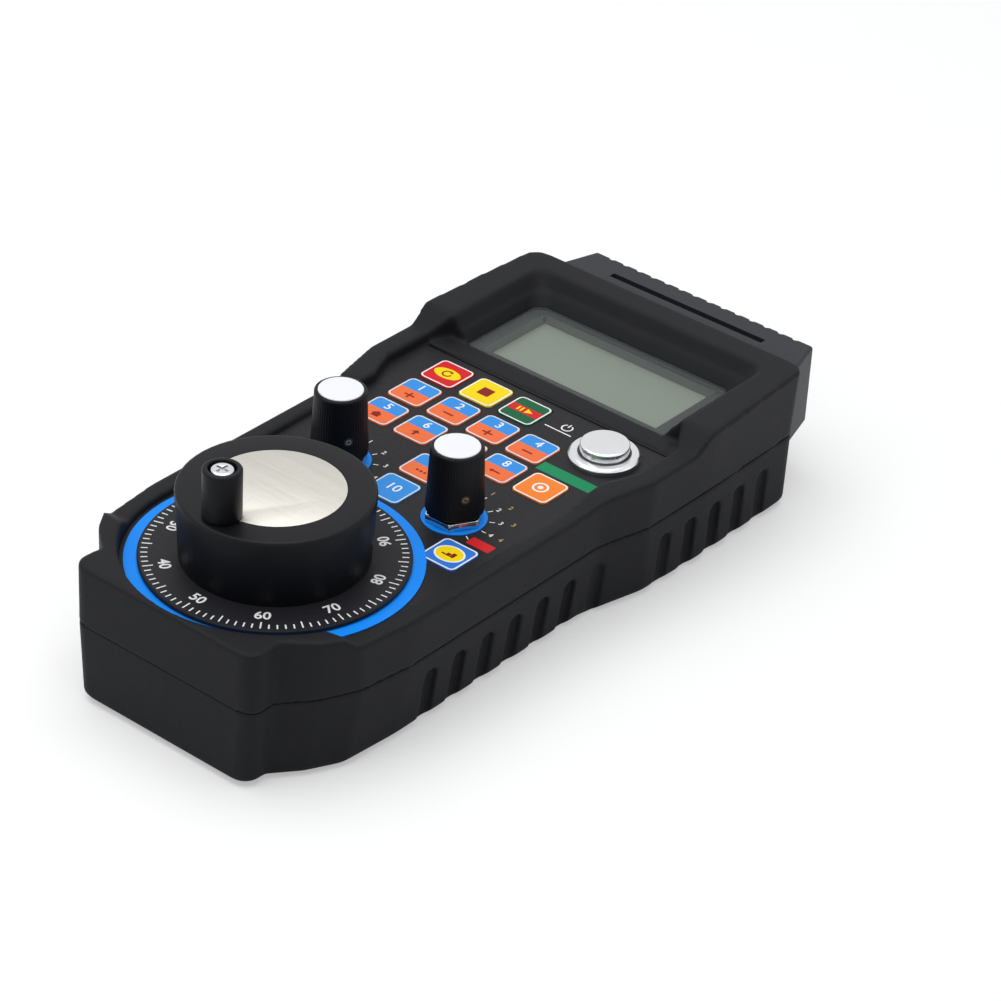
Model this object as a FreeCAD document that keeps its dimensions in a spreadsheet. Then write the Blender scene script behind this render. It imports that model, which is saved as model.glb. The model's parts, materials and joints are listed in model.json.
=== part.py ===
import FreeCAD, Part
import math
import os

import Sketcher

# Hand-held control pendant with a pulse generator handwheel.
# Millimetres; +X to the user's right, +Y towards the display, +Z up.
# The origin is at the middle of the back face, below the bounding box's centre.

# Driving dimensions, in the sheet under these names
DIMS = {
    # case
    "front_rim": 2.0,
    "side_rim": 6.9,
    "case_end": 93.0,
    "parting_height": 23.0,
    "loft_height": 47.0,
    "wall": 3.0,
    "floor_thickness": 2.2,
    "bottom_round": 2.0,
    "seam_width": 0.4,
    "seam_depth": 1.2,
    "fit_gap": 0.15,
    "running_gap": 0.3,
    "bore_gap": 0.03,
    # heights of the top, above the panel film
    "panel_height": 35.7,
    "film_thickness": 0.5,
    "plate_thickness": 2.2,
    "block_rise": 4.6,
    "waist_rise": 1.7,
    "shoulder_rise": 3.1,
    "bar_rise": 0.5,
    "display_rise": 7.7,
    "tail_rise": 8.1,
    "block_back": 19.6,
    "waist_front": 15.6,
    "shoulder_start": 0.0,
    "shoulder_top": 9.0,
    "ramp_start": 41.0,
    "ramp_end": 47.5,
    # panel recess
    "panel_end": 40.4,
    "panel_corner": 43.4,
    "panel_shoulder": 24.0,
    "panel_neck": 39.4,
    "panel_neck_place": 13.7,
    "panel_waist": 40.5,
    "panel_waist_place": 10.0,
    "recess_margin": 1.2,
    # display
    "window_half": 34.5,
    "window_start": 47.0,
    "window_end": 78.5,
    "ledge_half": 37.1,
    "ledge_end": 81.8,
    "ledge_height": 39.5,
    "ledge_width": 0.5,
    "mouth_half": 40.2,
    "mouth_round": 4.5,
    "lens_thickness": 1.0,
    "view_half": 30.1,
    "view_start": 49.5,
    "view_end": 76.2,
    "module_half": 33.5,
    "module_margin": 2.2,
    # dial and handwheel
    "dial_place": 68.6,
    "ring_show": 3.4,
    "ring_cover": 4.0,
    "ring_thickness": 0.35,
    "disc_radius": 34.8,
    "disc_thickness": 1.2,
    "disc_bevel": 0.35,
    "wheel_radius": 25.6,
    "wheel_foot": 24.5,
    "wheel_height": 19.4,
    "wheel_round": 0.9,
    "wheel_wall": 2.6,
    "wheel_roof": 3.2,
    "hub_radius": 6.5,
    "plate_radius": 17.8,
    "plate_depth": 0.7,
    "grip_aside": 0.8,
    "grip_reach": 18.8,
    "grip_radius": 5.1,
    "grip_height": 13.7,
    "grip_round": 0.7,
    "grip_recess": 3.7,
    "grip_recess_depth": 1.9,
    "grip_foot_gap": 0.3,
    "pin_radius": 2.0,
    "pin_depth": 8.0,
    "pin_head": 3.1,
    "pin_head_height": 1.4,
    "cross_width": 0.8,
    "cross_length": 3.8,
    "cross_depth": 0.8,
    "encoder_radius": 26.0,
    "encoder_depth": 18.0,
    "bushing_radius": 5.0,
    "bushing_rise": 0.2,
    "spindle_radius": 3.0,
    "spindle_engagement": 12.4,
    "fixing_circle": 20.0,
    "fixing_radius": 1.25,
    "fixing_head": 2.7,
    "fixing_length": 7.0,
    # selectors
    "selector_aside": 20.0,
    "selector_place": 22.4,
    "selector_ring": 8.7,
    "selector_ring_thickness": 0.25,
    "switch_radius": 8.8,
    "switch_depth": 12.0,
    "collar_radius": 4.5,
    "collar_rise": 2.8,
    "nut_flats": 14.0,
    "nut_height": 2.3,
    "knob_top_radius": 7.03,
    "knob_foot_radius": 7.75,
    "knob_gap": 0.6,
    "knob_height": 18.6,
    "knob_edge": 0.5,
    "stem_radius": 3.0,
    "stem_engagement": 13.0,
    "cap_radius": 6.05,
    "cap_depth": 1.0,
    "cap_height": 1.2,
    "cap_edge": 0.3,
    "set_screw_radius": 1.3,
    "set_screw_height": 6.7,
    "set_screw_length": 3.4,
    "set_screw_turn": -30.0,
    # power button
    "power_aside": 29.7,
    "power_place": 27.6,
    "bezel_radius": 9.8,
    "bezel_bore": 7.0,
    "bezel_height": 2.0,
    "bezel_bevel": 0.7,
    "button_radius": 6.75,
    "button_rise": 4.8,
    "button_depth": 3.0,
    "button_round": 0.6,
    "barrel_radius": 8.0,
    "barrel_depth": 23.7,
    "barrel_floor": 2.0,
    "power_nut_flats": 19.0,
    "power_nut_height": 2.7,
    "spring_radius": 4.0,
    "spring_wire": 0.5,
    "spring_turns": 5.0,
    # keys
    "key_width": 11.4,
    "key_round": 1.6,
    "key_pitch": 13.83,
    "key_column": 28.05,
    "key_row_pitch": 13.55,
    "key_row": 31.0,
    "key_proud": 0.3,
    "key_flange": 0.5,
    "key_flange_height": 0.7,
    "key_flange_gap": 0.3,
    "step_key_aside": 30.6,
    "step_key_place": 36.6,
    "dome_radius": 3.0,
    "dome_height": 0.45,
    "dome_gap": 0.35,
    "board_thickness": 1.2,
    "board_half": 38.5,
    "board_front": 42.2,
    "board_back": 42.0,
    "board_gap": 0.5,
    "post_radius": 2.0,
    # main board and radio
    "main_board_rise": 3.0,
    "main_board_thickness": 1.6,
    "main_board_half": 36.0,
    "main_board_start": 10.0,
    "main_board_end": 88.0,
    "radio_width": 24.0,
    "radio_length": 16.0,
    "radio_height": 2.0,
    "radio_place": 22.0,
    "antenna_radius": 1.9,
    "antenna_length": 30.0,
    "antenna_place": 84.5,
    # battery bay
    "bay_half": 27.3,
    "bay_start": 38.5,
    "bay_end": 71.5,
    "bay_roof": 17.2,
    "bay_wall": 1.5,
    "door_gap": 0.2,
    "cell_radius": 7.1,
    "cell_length": 50.0,
    "cell_pitch": 16.0,
    "cell_lift": 0.4,
    "contact_thickness": 0.4,
    "contact_height": 11.0,
    "contact_bump": 2.6,
    # screws of the case
    "boss_radius": 3.2,
    "screw_post_radius": 4.2,
    "screw_radius": 1.3,
    "screw_head": 2.7,
    "screw_head_height": 2.0,
    "screw_sink": 3.0,
    "screw_end_gap": 1.5,
    # serrated block at the display end
    "end_block_half": 38.6,
    "end_block_root": 43.5,
    "end_block_depth": 17.0,
    "end_block_low": 15.0,
    "end_block_seam": 27.7,
    "end_block_high": 39.5,
    "end_block_wall": 2.0,
    "end_block_round": 1.0,
    "flute_radius": 1.25,
    "flute_pitch": 5.03,
    "slit_half": 27.0,
    "slit_place": 9.0,
    "slit_width": 2.2,
    "slit_depth": 1.5,
    # finger slots
    "slot_width": 4.8,
    "slot_round": 2.2,
    "slot_depth": 1.9,
    "bend_slot_depth": 0.5,
    "slot_top": 17.0,
    "waist_slot_start": 57.0,
    "waist_slot_pitch": 11.1,
    "wide_slot_start": 33.5,
    "wide_slot_pitch": 11.0,
}

# Corners of the case's outline on the right side, from the front to the display end.
# Each has its half width and its place along Y on the back face, at the parting
# plane and at the top, and the radius that rounds it. The front ones are placed
# from the front end, and the hollow's width is set by the rim round the dial.
STATIONS = (
    ("nose", (29.6, None), (31.0, None), (31.4, None), 4.5),
    ("crease", (29.4, 7.4), (30.6, 8.4), (30.2, 11.2), 1.6),
    ("cheek", (35.6, 15.2), (37.2, 16.4), (38.2, 16.6), 10.0),
    ("ear", (40.2, 25.0), (42.2, 27.5), (43.9, 23.5), 6.0),
    ("hollow", (-4.8, 42.0), (-2.1, 44.0), (0.0, 44.0), 40.0),
    ("waist", (41.6, 6.0), (44.3, 9.0), (46.9, 3.0), 16.0),
    ("shoulder", (46.6, 27.0), (48.1, 25.0), (51.3, 23.0), 9.0),
    ("hip", (47.4, 50.0), (48.4, 50.0), (51.2, 50.0), 60.0),
    ("tail", (46.9, None), (47.2, None), (48.3, None), 5.0),
)
FRONT_STATIONS = ("crease", "cheek", "ear", "hollow")
LEVELS = ("low", "mid", "top")

# Places of the repeated small parts, (right, along)
BOSSES = (("front_boss", 32.5, -88.0), ("middle_boss", 34.5, -12.0), ("back_boss", 40.0, 80.0))
POSTS = (("front_post", 37.6, -25.0), ("middle_post", 37.6, 12.0), ("back_post", 21.5, 39.6))
STANDS = (("front_stand", 32.0, 16.0), ("back_stand", 32.0, 84.0))
WAIST_SLOTS = 6
WIDE_SLOTS = 5
FLUTES = 14
CLEAR = 20.0

# Keys: name, column and row of the grid
GRID_KEYS = (
    ("reset", 0, 0), ("stop", 1, 0), ("start", 2, 0),
    ("macro_1", 0, 1), ("macro_2", 1, 1), ("macro_3", 2, 1), ("macro_4", 3, 1),
    ("macro_5", 0, 2), ("macro_6", 1, 2), ("macro_7", 2, 2), ("macro_8", 3, 2),
    ("function", 4, 2), ("macro_9", 2, 3), ("macro_10", 2, 4),
)

for station, *places, rounding in STATIONS:
    for level, (aside, along) in zip(LEVELS, places):
        DIMS["%s_%s_half" % (station, level)] = aside
        if along is not None:
            DIMS["%s_%s_place" % (station, level)] = along
    DIMS[station + "_rounding"] = rounding
for boss, aside, along in BOSSES + POSTS + STANDS:
    DIMS[boss + "_aside"] = aside
    DIMS[boss + "_along"] = along

doc = FreeCAD.newDocument("pendant")
sheet = doc.addObject("Spreadsheet::Sheet", "Sheet")
for row, (alias, number) in enumerate(DIMS.items(), start=1):
    sheet.set("A%d" % row, alias)
    sheet.set("B%d" % row, str(number))
    sheet.setAlias("B%d" % row, alias)
doc.recompute()


class Size:
    """A length from the sheet, or one worked out from others: expression and value."""

    def __init__(self, text, value):
        self.text = text
        self.value = value

    def joined(self, sign, other, value):
        return Size("(%s %s %s)" % (self.text, sign, other.text), value)

    def __add__(self, other):
        other = sized(other)
        return self.joined("+", other, self.value + other.value)

    def __sub__(self, other):
        other = sized(other)
        return self.joined("-", other, self.value - other.value)

    def __mul__(self, other):
        other = sized(other)
        return self.joined("*", other, self.value * other.value)

    def __truediv__(self, other):
        other = sized(other)
        return self.joined("/", other, self.value / other.value)

    def __neg__(self):
        return Size("(-1 * %s)" % self.text, -self.value)


def sized(value):
    """Any number as a Size."""
    if isinstance(value, Size):
        return value
    return Size(repr(float(value)), float(value))


class Names:
    """Gives each named size of the sheet as an attribute."""

    def __getattr__(self, alias):
        return named(alias)


def named(alias):
    """The size that the sheet holds under a name."""
    return Size("Sheet." + alias, float(sheet.get(alias)))


S = Names()
PIECES = []

FILM_TOP = S.panel_height
PLATE_TOP = FILM_TOP - S.film_thickness
PLATE_LOW = PLATE_TOP - S.plate_thickness
BAR_TOP = FILM_TOP + S.bar_rise
DIAL_Y = -S.dial_place
RING_RADIUS = S.disc_radius + S.ring_show
RING_INNER = S.disc_radius - S.ring_cover
RECESS_RADIUS = RING_RADIUS + S.recess_margin
FRONT_END = DIAL_Y - RECESS_RADIUS - S.front_rim
DISC_LOW = FILM_TOP + S.ring_thickness + S.running_gap
DISC_TOP = DISC_LOW + S.disc_thickness
WHEEL_TOP = DISC_TOP + S.wheel_height
GRIP_X = -S.grip_aside
GRIP_Y = DIAL_Y - S.grip_reach
GRIP_LOW = WHEEL_TOP + S.grip_foot_gap
GRIP_TOP = GRIP_LOW + S.grip_height
KEY_TOP = FILM_TOP + S.key_proud
KEY_LOW = PLATE_LOW - S.key_flange_gap - S.key_flange_height
BOARD_TOP = KEY_LOW - S.dome_gap - S.dome_height
BOARD_LOW = BOARD_TOP - S.board_thickness
MAIN_LOW = S.parting_height + S.main_board_rise
MAIN_TOP = MAIN_LOW + S.main_board_thickness
COLLAR_TOP = FILM_TOP + S.collar_rise
KNOB_LOW = COLLAR_TOP + S.knob_gap - S.running_gap
KNOB_TOP = KNOB_LOW + S.knob_height
BAY_FLOOR = S.floor_thickness + S.cell_lift
BLOCK_END = S.case_end + S.end_block_depth


def bind(target, prop, size):
    """Set a property to a size and keep it bound to the sheet."""
    size = sized(size)
    target.setExpression(prop, size.text)
    return target


def new_body(label):
    """A body that becomes one piece."""
    body = doc.addObject("PartDesign::Body", label)
    body.Label = label
    return body


def place(piece, x=0, y=0, z=0):
    """Move a piece to its place."""
    for axis, size in (("x", x), ("y", y), ("z", z)):
        bind(piece, "Placement.Base." + axis, size)
    return piece


def keep(piece):
    """Put a piece on the list of the parts that are written."""
    PIECES.append(piece)
    return piece


def new_sketch(body, role="XY_Plane", height=None):
    """A sketch on one of the body's own planes, raised by a size."""
    sketch = body.newObject("Sketcher::SketchObject", "Sketch")
    plane = [item for item in body.Origin.OriginFeatures if item.Role == role][0]
    sketch.AttachmentSupport = [(plane, "")]
    sketch.MapMode = "FlatFace"
    if height is not None:
        bind(sketch, "AttachmentOffset.Base.z", height)
    return sketch


class Drawing:
    """Collects the lines and rules of a sketch, and gives them to it together."""

    def __init__(self, sketch):
        self.sketch = sketch
        self.shapes = []
        self.guides = []
        self.rules = []
        self.sizes = []

    def add(self, shape, guide=False):
        """Add a curve, or a guide point, and return its number in the sketch."""
        self.shapes.append(shape)
        self.guides.append(guide)
        return len(self.shapes) - 1

    def rule(self, *terms, size=None):
        """Add a constraint, bound to a size if one is given."""
        if size is not None:
            terms = terms + (size.value,)
        self.rules.append(Sketcher.Constraint(*terms))
        self.sizes.append(size)

    def pin(self, shape, position, x, y):
        """Fix a point of a curve by its distances from the origin."""
        for kind, size, axis in (("DistanceX", sized(x), -2), ("DistanceY", sized(y), -1)):
            if size.text == "0.0":
                self.rule("PointOnObject", shape, position, axis)
            else:
                self.rule(kind, -1, 1, shape, position, size=size)

    def finish(self):
        """Hand everything to the sketch."""
        for shape, guide in zip(self.shapes, self.guides):
            self.sketch.addGeometry(shape, guide)
        self.sketch.addConstraint(self.rules)
        for index, size in enumerate(self.sizes):
            if size is not None:
                self.sketch.setExpression("Constraints[%d]" % index, size.text)
        return self.sketch


def rounded_corner(before, corner, after, radius):
    """Ends, centre and turn of the arc that rounds a corner."""
    back = (before - corner).normalize()
    ahead = (after - corner).normalize()
    half = back.getAngle(ahead) / 2
    reach = radius / math.tan(half)
    middle = (back + ahead).normalize()
    centre = corner + middle * (radius / math.sin(half))
    left_turn = back.cross(ahead).z < 0
    return corner + back * reach, corner + ahead * reach, centre, left_turn


def draw_loop(drawing, corners):
    """A closed loop through corners (x, y) or (x, y, radius of the rounding)."""
    count = len(corners)
    points = [FreeCAD.Vector(sized(c[0]).value, sized(c[1]).value, 0) for c in corners]
    rounds = []
    for i, corner in enumerate(corners):
        if len(corner) == 3:
            radius = sized(corner[2]).value
            rounds.append(rounded_corner(points[i - 1], points[i], points[(i + 1) % count], radius))
        else:
            rounds.append((points[i], points[i], None, None))
    lines = []
    for i in range(count):
        lines.append(drawing.add(Part.LineSegment(rounds[i][1], rounds[(i + 1) % count][0])))
    for i, corner in enumerate(corners):
        start, end, centre, left_turn = rounds[i]
        before, after = lines[i - 1], lines[i]
        if centre is None:
            drawing.rule("Coincident", before, 2, after, 1)
            drawing.pin(after, 1, corner[0], corner[1])
            continue
        first, last = (start, end) if left_turn else (end, start)
        ring = Part.Circle(centre, FreeCAD.Vector(0, 0, 1), sized(corner[2]).value)
        span = [math.atan2(point.y - centre.y, point.x - centre.x) for point in (first, last)]
        if span[1] < span[0]:
            span[1] += 2 * math.pi
        arc = drawing.add(Part.ArcOfCircle(ring, span[0], span[1]))
        ends = (1, 2) if left_turn else (2, 1)
        drawing.rule("Tangent", before, 2, arc, ends[0])
        drawing.rule("Tangent", arc, ends[1], after, 1)
        drawing.rule("Radius", arc, size=sized(corner[2]))
        tip = drawing.add(Part.Point(points[i]), True)
        drawing.rule("PointOnObject", tip, 1, before)
        drawing.rule("PointOnObject", tip, 1, after)
        drawing.pin(tip, 1, corner[0], corner[1])


def draw(sketch, loops=(), circles=()):
    """Fill a sketch with loops of corners and circles (x, y, radius)."""
    drawing = Drawing(sketch)
    for corners in loops:
        draw_loop(drawing, corners)
    for x, y, radius in circles:
        centre = FreeCAD.Vector(sized(x).value, sized(y).value, 0)
        ring = drawing.add(Part.Circle(centre, FreeCAD.Vector(0, 0, 1), sized(radius).value))
        drawing.pin(ring, 3, x, y)
        drawing.rule("Radius", ring, size=sized(radius))
    return drawing.finish()


def outline(sketch, corners):
    """Fill a sketch with one loop."""
    return draw(sketch, [corners])


def circle(sketch, x, y, radius):
    """Fill a sketch with one circle."""
    return draw(sketch, circles=[(x, y, radius)])


def box_corners(x_low, y_low, x_high, y_high, radius=None):
    """Corners of a rectangle, rounded if a radius is given."""
    corners = [(x_low, y_low), (x_high, y_low), (x_high, y_high), (x_low, y_high)]
    if radius is not None:
        corners = [(x, y, radius) for x, y in corners]
    return corners


def rectangle(sketch, x_low, y_low, x_high, y_high, radius=None):
    """Fill a sketch with one rectangle."""
    return outline(sketch, box_corners(x_low, y_low, x_high, y_high, radius))


def mirrored(corners):
    """A right-hand run of corners, from front to back, closed by its mirror image."""
    left = [(-corner[0],) + tuple(corner[1:]) for corner in reversed(corners)]
    return list(corners) + left


def pad(body, sketch, length):
    """Raise a sketch by a length."""
    feature = body.newObject("PartDesign::Pad", "Pad")
    feature.Profile = sketch
    bind(feature, "Length", length)
    return feature


def pocket(body, sketch, depth):
    """Cut a sketch down by a depth."""
    feature = body.newObject("PartDesign::Pocket", "Pocket")
    feature.Profile = sketch
    bind(feature, "Length", depth)
    return feature


def loft(body, sketches, kind="Additive"):
    """Join sketches by straight sides."""
    feature = body.newObject("PartDesign::%sLoft" % kind, kind + "Loft")
    feature.Profile = sketches[0]
    feature.Sections = sketches[1:]
    feature.Ruled = True
    return feature


def round_edges(body, feature, radius, test):
    """Round the edges of a feature that pass a test."""
    doc.recompute()
    names = ["Edge%d" % i for i, edge in enumerate(feature.Shape.Edges, start=1) if test(edge)]
    rounding = body.newObject("PartDesign::Fillet", "Fillet")
    rounding.Base = (feature, names)
    bind(rounding, "Radius", radius)
    return rounding


def turned(label, corners, x=0, y=0):
    """A body of revolution from corners (radius, height), at a place on the panel."""
    body = new_body(label)
    sketch = outline(new_sketch(body, "XZ_Plane"), corners)
    feature = body.newObject("PartDesign::Revolution", "Revolution")
    feature.Profile = sketch
    feature.ReferenceAxis = (sketch, ["V_Axis"])
    feature.Angle = 360
    return place(body, x, y)


def half_width(name, level):
    """Half width of the case at a corner of its outline."""
    aside = named("%s_%s_half" % (name, level))
    if name == "hollow":
        aside = aside + RECESS_RADIUS + S.side_rim
    return aside


def case_corners(level, inset=0):
    """Outline of the case at a level, moved inwards by an inset."""
    corners = []
    for station in STATIONS:
        name = station[0]
        aside = half_width(name, level) - inset
        if name == "nose":
            along = FRONT_END + inset
        elif name == "tail":
            along = S.case_end - inset
        else:
            along = named("%s_%s_place" % (name, level))
        if name in FRONT_STATIONS:
            along = along + FRONT_END
        if name in ("crease", "cheek"):
            along = along + sized(inset) * 0.5
        corners.append((aside, along, named(name + "_rounding")))
    return [(0, corners[0][1])] + corners + [(0, corners[-1][1])]


def case_section(body, level, height, inset=0):
    """Sketch of the outline of the case's right half at a height."""
    return outline(new_sketch(body, "XY_Plane", height), case_corners(level, inset))


def doubled(half):
    """The right half of the case and its mirror image, as one solid."""
    left = doc.addObject("Part::Mirroring", half.Label + "_left")
    left.Source = half
    left.Normal = FreeCAD.Vector(1, 0, 0)
    whole = doc.addObject("Part::MultiFuse", half.Label + "_whole")
    whole.Shapes = [half, left]
    whole.Refine = True
    return whole


def cut_from(base, tools, label):
    """A piece that is left when tools are cut from a solid."""
    together = doc.addObject("Part::Compound", label + "_tools")
    together.Links = tools
    piece = doc.addObject("Part::Cut", label)
    piece.Label = label
    piece.Base = base
    piece.Tool = together
    return keep(piece)


def cylinder(x, y, low, height, radius):
    """An upright cylinder."""
    solid = doc.addObject("Part::Cylinder", "Cylinder")
    bind(solid, "Radius", radius)
    bind(solid, "Height", height)
    return place(solid, x, y, low)


def both_sides(places):
    """Each named place on the right, then its mirror image on the left."""
    spots = []
    for name, *_ in places:
        aside, along = named(name + "_aside"), named(name + "_along")
        spots.extend([(aside, along), (-aside, along)])
    return spots


def panel_half(grow=0):
    """Right half of the outline of the panel film behind the dial, grown by a gap."""
    return [
        (0, DIAL_Y),
        (RECESS_RADIUS + grow, DIAL_Y),
        (S.panel_waist + grow, -S.panel_waist_place),
        (S.panel_neck + grow, S.panel_neck_place),
        (S.panel_corner + grow, S.panel_shoulder),
        (S.panel_corner + grow, S.panel_end + grow),
        (0, S.panel_end + grow),
    ]


def key_places():
    """Name and centre of each key."""
    spots = []
    for name, column, line in GRID_KEYS:
        x = S.key_pitch * column - S.key_column
        y = S.key_row - S.key_row_pitch * line
        spots.append(("key_" + name, x, y))
    spots.append(("key_step", S.step_key_aside, -S.step_key_place))
    spots.append(("key_continuous", -S.step_key_aside, -S.step_key_place))
    return spots


KEYS = key_places()
SELECTORS = (("axis", -S.selector_aside, -S.selector_place), ("feed", S.selector_aside, -S.selector_place))
POWER = (S.power_aside, S.power_place)


def top_profile():
    """Side view of the case's top, as the outline of what is cut away above it."""
    ahead = FRONT_END - CLEAR
    behind = S.case_end + CLEAR
    above = S.loft_height + CLEAR
    return [
        (ahead, FILM_TOP + S.block_rise),
        (DIAL_Y - S.block_back, FILM_TOP + S.block_rise),
        (DIAL_Y - S.waist_front, FILM_TOP + S.waist_rise),
        (S.shoulder_start, FILM_TOP + S.waist_rise),
        (S.shoulder_top, FILM_TOP + S.shoulder_rise),
        (S.ramp_start, FILM_TOP + S.shoulder_rise),
        (S.ramp_end, FILM_TOP + S.display_rise),
        (behind, FILM_TOP + S.tail_rise),
        (behind, above),
        (ahead, above),
    ]


def front_housing():
    """Upper half of the case, with the panel plate and the display's recess."""
    body = new_body("front_half")
    loft(body, [
        case_section(body, "mid", S.parting_height),
        case_section(body, "top", S.loft_height),
    ])
    profile = outline(new_sketch(body, "YZ_Plane"), top_profile())
    pocket(body, profile, (S.shoulder_top_half + CLEAR) * 2).SideType = "Symmetric"

    depth = S.loft_height - PLATE_TOP
    recess = outline(new_sketch(body, "XY_Plane", S.loft_height), panel_half(S.fit_gap))
    pocket(body, recess, depth)
    recess = circle(new_sketch(body, "XY_Plane", S.loft_height), 0, DIAL_Y, RECESS_RADIUS + S.fit_gap)
    pocket(body, recess, depth)

    # the bar between the film and the window, and the sloping sides of the display
    bar = [
        (0, S.panel_end),
        (S.panel_corner + S.fit_gap, S.panel_end),
        (S.mouth_half, S.window_start),
        (S.window_half, S.window_start + S.fit_gap),
        (0, S.window_start + S.fit_gap),
    ]
    pocket(body, outline(new_sketch(body, "XY_Plane", S.loft_height), bar), S.loft_height - BAR_TOP)
    slope = S.mouth_half - S.ledge_half
    rise = FILM_TOP + S.tail_rise - S.ledge_height
    mouth = []
    for height, grow in ((S.ledge_height, 0), (S.ledge_height + rise * 2, slope * 2)):
        sketch = new_sketch(body, "XY_Plane", height)
        mouth.append(recess_half(sketch, S.ledge_half + grow, S.ledge_end + grow))
    loft(body, mouth, "Subtractive")
    throat = []
    inner = S.ledge_half - S.ledge_width
    for height, half, far in ((BAR_TOP, S.window_half, S.window_end),
                              (S.ledge_height + 0.01, inner, S.ledge_end - S.ledge_width)):
        sketch = new_sketch(body, "XY_Plane", height)
        throat.append(recess_half(sketch, half, far))
    loft(body, throat, "Subtractive")
    seat = rectangle(new_sketch(body, "XY_Plane", BAR_TOP), 0, S.window_start,
                     S.window_half, S.window_end)
    pocket(body, seat, S.lens_thickness)

    # the hollow under the plate, left open at the parting plane
    hollow = [
        case_section(body, "mid", S.parting_height, S.wall),
        case_section(body, "mid", PLATE_LOW, S.wall),
    ]
    loft(body, hollow, "Subtractive")
    view = rectangle(new_sketch(body, "XY_Plane", BAR_TOP), 0, S.view_start,
                     S.view_half, S.view_end)
    pocket(body, view, BAR_TOP - PLATE_LOW + S.fit_gap)

    # bosses for the screws of the case, and posts for the key board
    bosses = circles_at(body, S.parting_height, BOSSES, S.boss_radius)
    pad(body, bosses, PLATE_LOW - S.parting_height + S.fit_gap)
    posts = circles_at(body, BOARD_TOP, POSTS, S.post_radius)
    pad(body, posts, PLATE_LOW - BOARD_TOP + S.fit_gap)
    pilots = circles_at(body, PLATE_LOW - S.screw_end_gap, BOSSES, S.screw_radius + S.bore_gap)
    pocket(body, pilots, PLATE_LOW - S.parting_height)

    # holes of the plate
    low = PLATE_LOW - S.running_gap
    depth = PLATE_TOP - PLATE_LOW + S.running_gap * 2
    holes = [cylinder(x, y, low, depth, S.collar_radius + S.fit_gap) for _, x, y in SELECTORS]
    holes.append(cylinder(0, DIAL_Y, low, depth, S.bushing_radius + S.fit_gap))
    holes.append(cylinder(POWER[0], POWER[1], low, depth, S.barrel_radius + S.fit_gap))
    for x, y in fixing_places():
        holes.append(cylinder(x, DIAL_Y + y, low, depth, S.fixing_head + S.fit_gap))
    cut_from(doubled(body), holes + key_windows(), "front_housing")


def recess_half(sketch, half, far):
    """Right half of the display's recess, with a rounded far corner."""
    return outline(sketch, [
        (0, S.window_start),
        (half, S.window_start),
        (half, far, S.mouth_round),
        (0, far),
    ])


def key_windows():
    """Tools for the openings of the keys, with a gap round each key."""
    half = S.key_width / 2 + S.fit_gap
    tools = []
    for _, x, y in KEYS:
        body = new_body("KeyWindow")
        face = rectangle(new_sketch(body), -half, -half, half, half, S.key_round)
        pad(body, face, S.film_thickness + S.plate_thickness + S.running_gap * 2)
        tools.append(place(body, x, y, PLATE_LOW - S.running_gap))
    return tools


def fixing_places():
    """Places of the pulse generator's screws, from the dial's centre."""
    turns = [math.radians(angle) for angle in (90, 210, 330)]
    return [(S.fixing_circle * math.cos(turn), S.fixing_circle * math.sin(turn)) for turn in turns]


def circles_at(body, height, places, radius):
    """Sketch of equal circles at each named place on the right."""
    rings = [(x, y, radius) for x, y in both_sides(places)[::2]]
    return draw(new_sketch(body, "XY_Plane", height), circles=rings)


def rear_housing():
    """Lower half of the case, with the battery bay, screw posts and finger slots."""
    body = new_body("rear_half")
    loft(body, [
        case_section(body, "low", 0, S.bottom_round),
        case_section(body, "low", S.bottom_round),
        case_section(body, "mid", S.parting_height - S.seam_width),
    ])
    rim = case_section(body, "mid", S.parting_height - S.seam_width * 2, S.seam_depth)
    pad(body, rim, S.seam_width * 2)
    hollow = [
        case_section(body, "low", S.floor_thickness, S.wall),
        case_section(body, "mid", S.parting_height, S.wall),
    ]
    loft(body, hollow, "Subtractive")

    # battery bay, open towards the back
    bay = rectangle(new_sketch(body, "XY_Plane", S.floor_thickness),
                    0, S.bay_start - S.bay_wall,
                    S.bay_half + S.bay_wall, S.bay_end + S.bay_wall)
    pad(body, bay, S.bay_roof + S.bay_wall - S.floor_thickness)
    well = rectangle(new_sketch(body, "XY_Plane", S.bay_roof), 0, S.bay_start,
                     S.bay_half, S.bay_end)
    pocket(body, well, S.bay_roof)

    # posts for the screws and stands for the main board
    posts = circles_at(body, S.floor_thickness, BOSSES, S.screw_post_radius)
    pad(body, posts, S.parting_height - S.floor_thickness)
    stands = circles_at(body, S.floor_thickness, STANDS, S.post_radius)
    pad(body, stands, MAIN_LOW - S.floor_thickness)
    bores = circles_at(body, S.parting_height, BOSSES, S.screw_radius + S.fit_gap)
    pocket(body, bores, S.parting_height)
    sinks = circles_at(body, S.screw_sink, BOSSES, S.screw_head + S.fit_gap)
    pocket(body, sinks, S.screw_sink)

    finger_slots(body, "hollow", "waist", -S.waist_slot_start, S.waist_slot_pitch, WAIST_SLOTS)
    bend = S.waist_slot_pitch * WAIST_SLOTS - S.waist_slot_start
    finger_slots(body, "waist", "waist", bend, S.waist_slot_pitch, 1, S.bend_slot_depth)
    finger_slots(body, "hip", "hip", S.wide_slot_start, S.wide_slot_pitch, WIDE_SLOTS)
    whole = doubled(body)
    whole.Label = "rear_housing"
    keep(whole)


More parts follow.
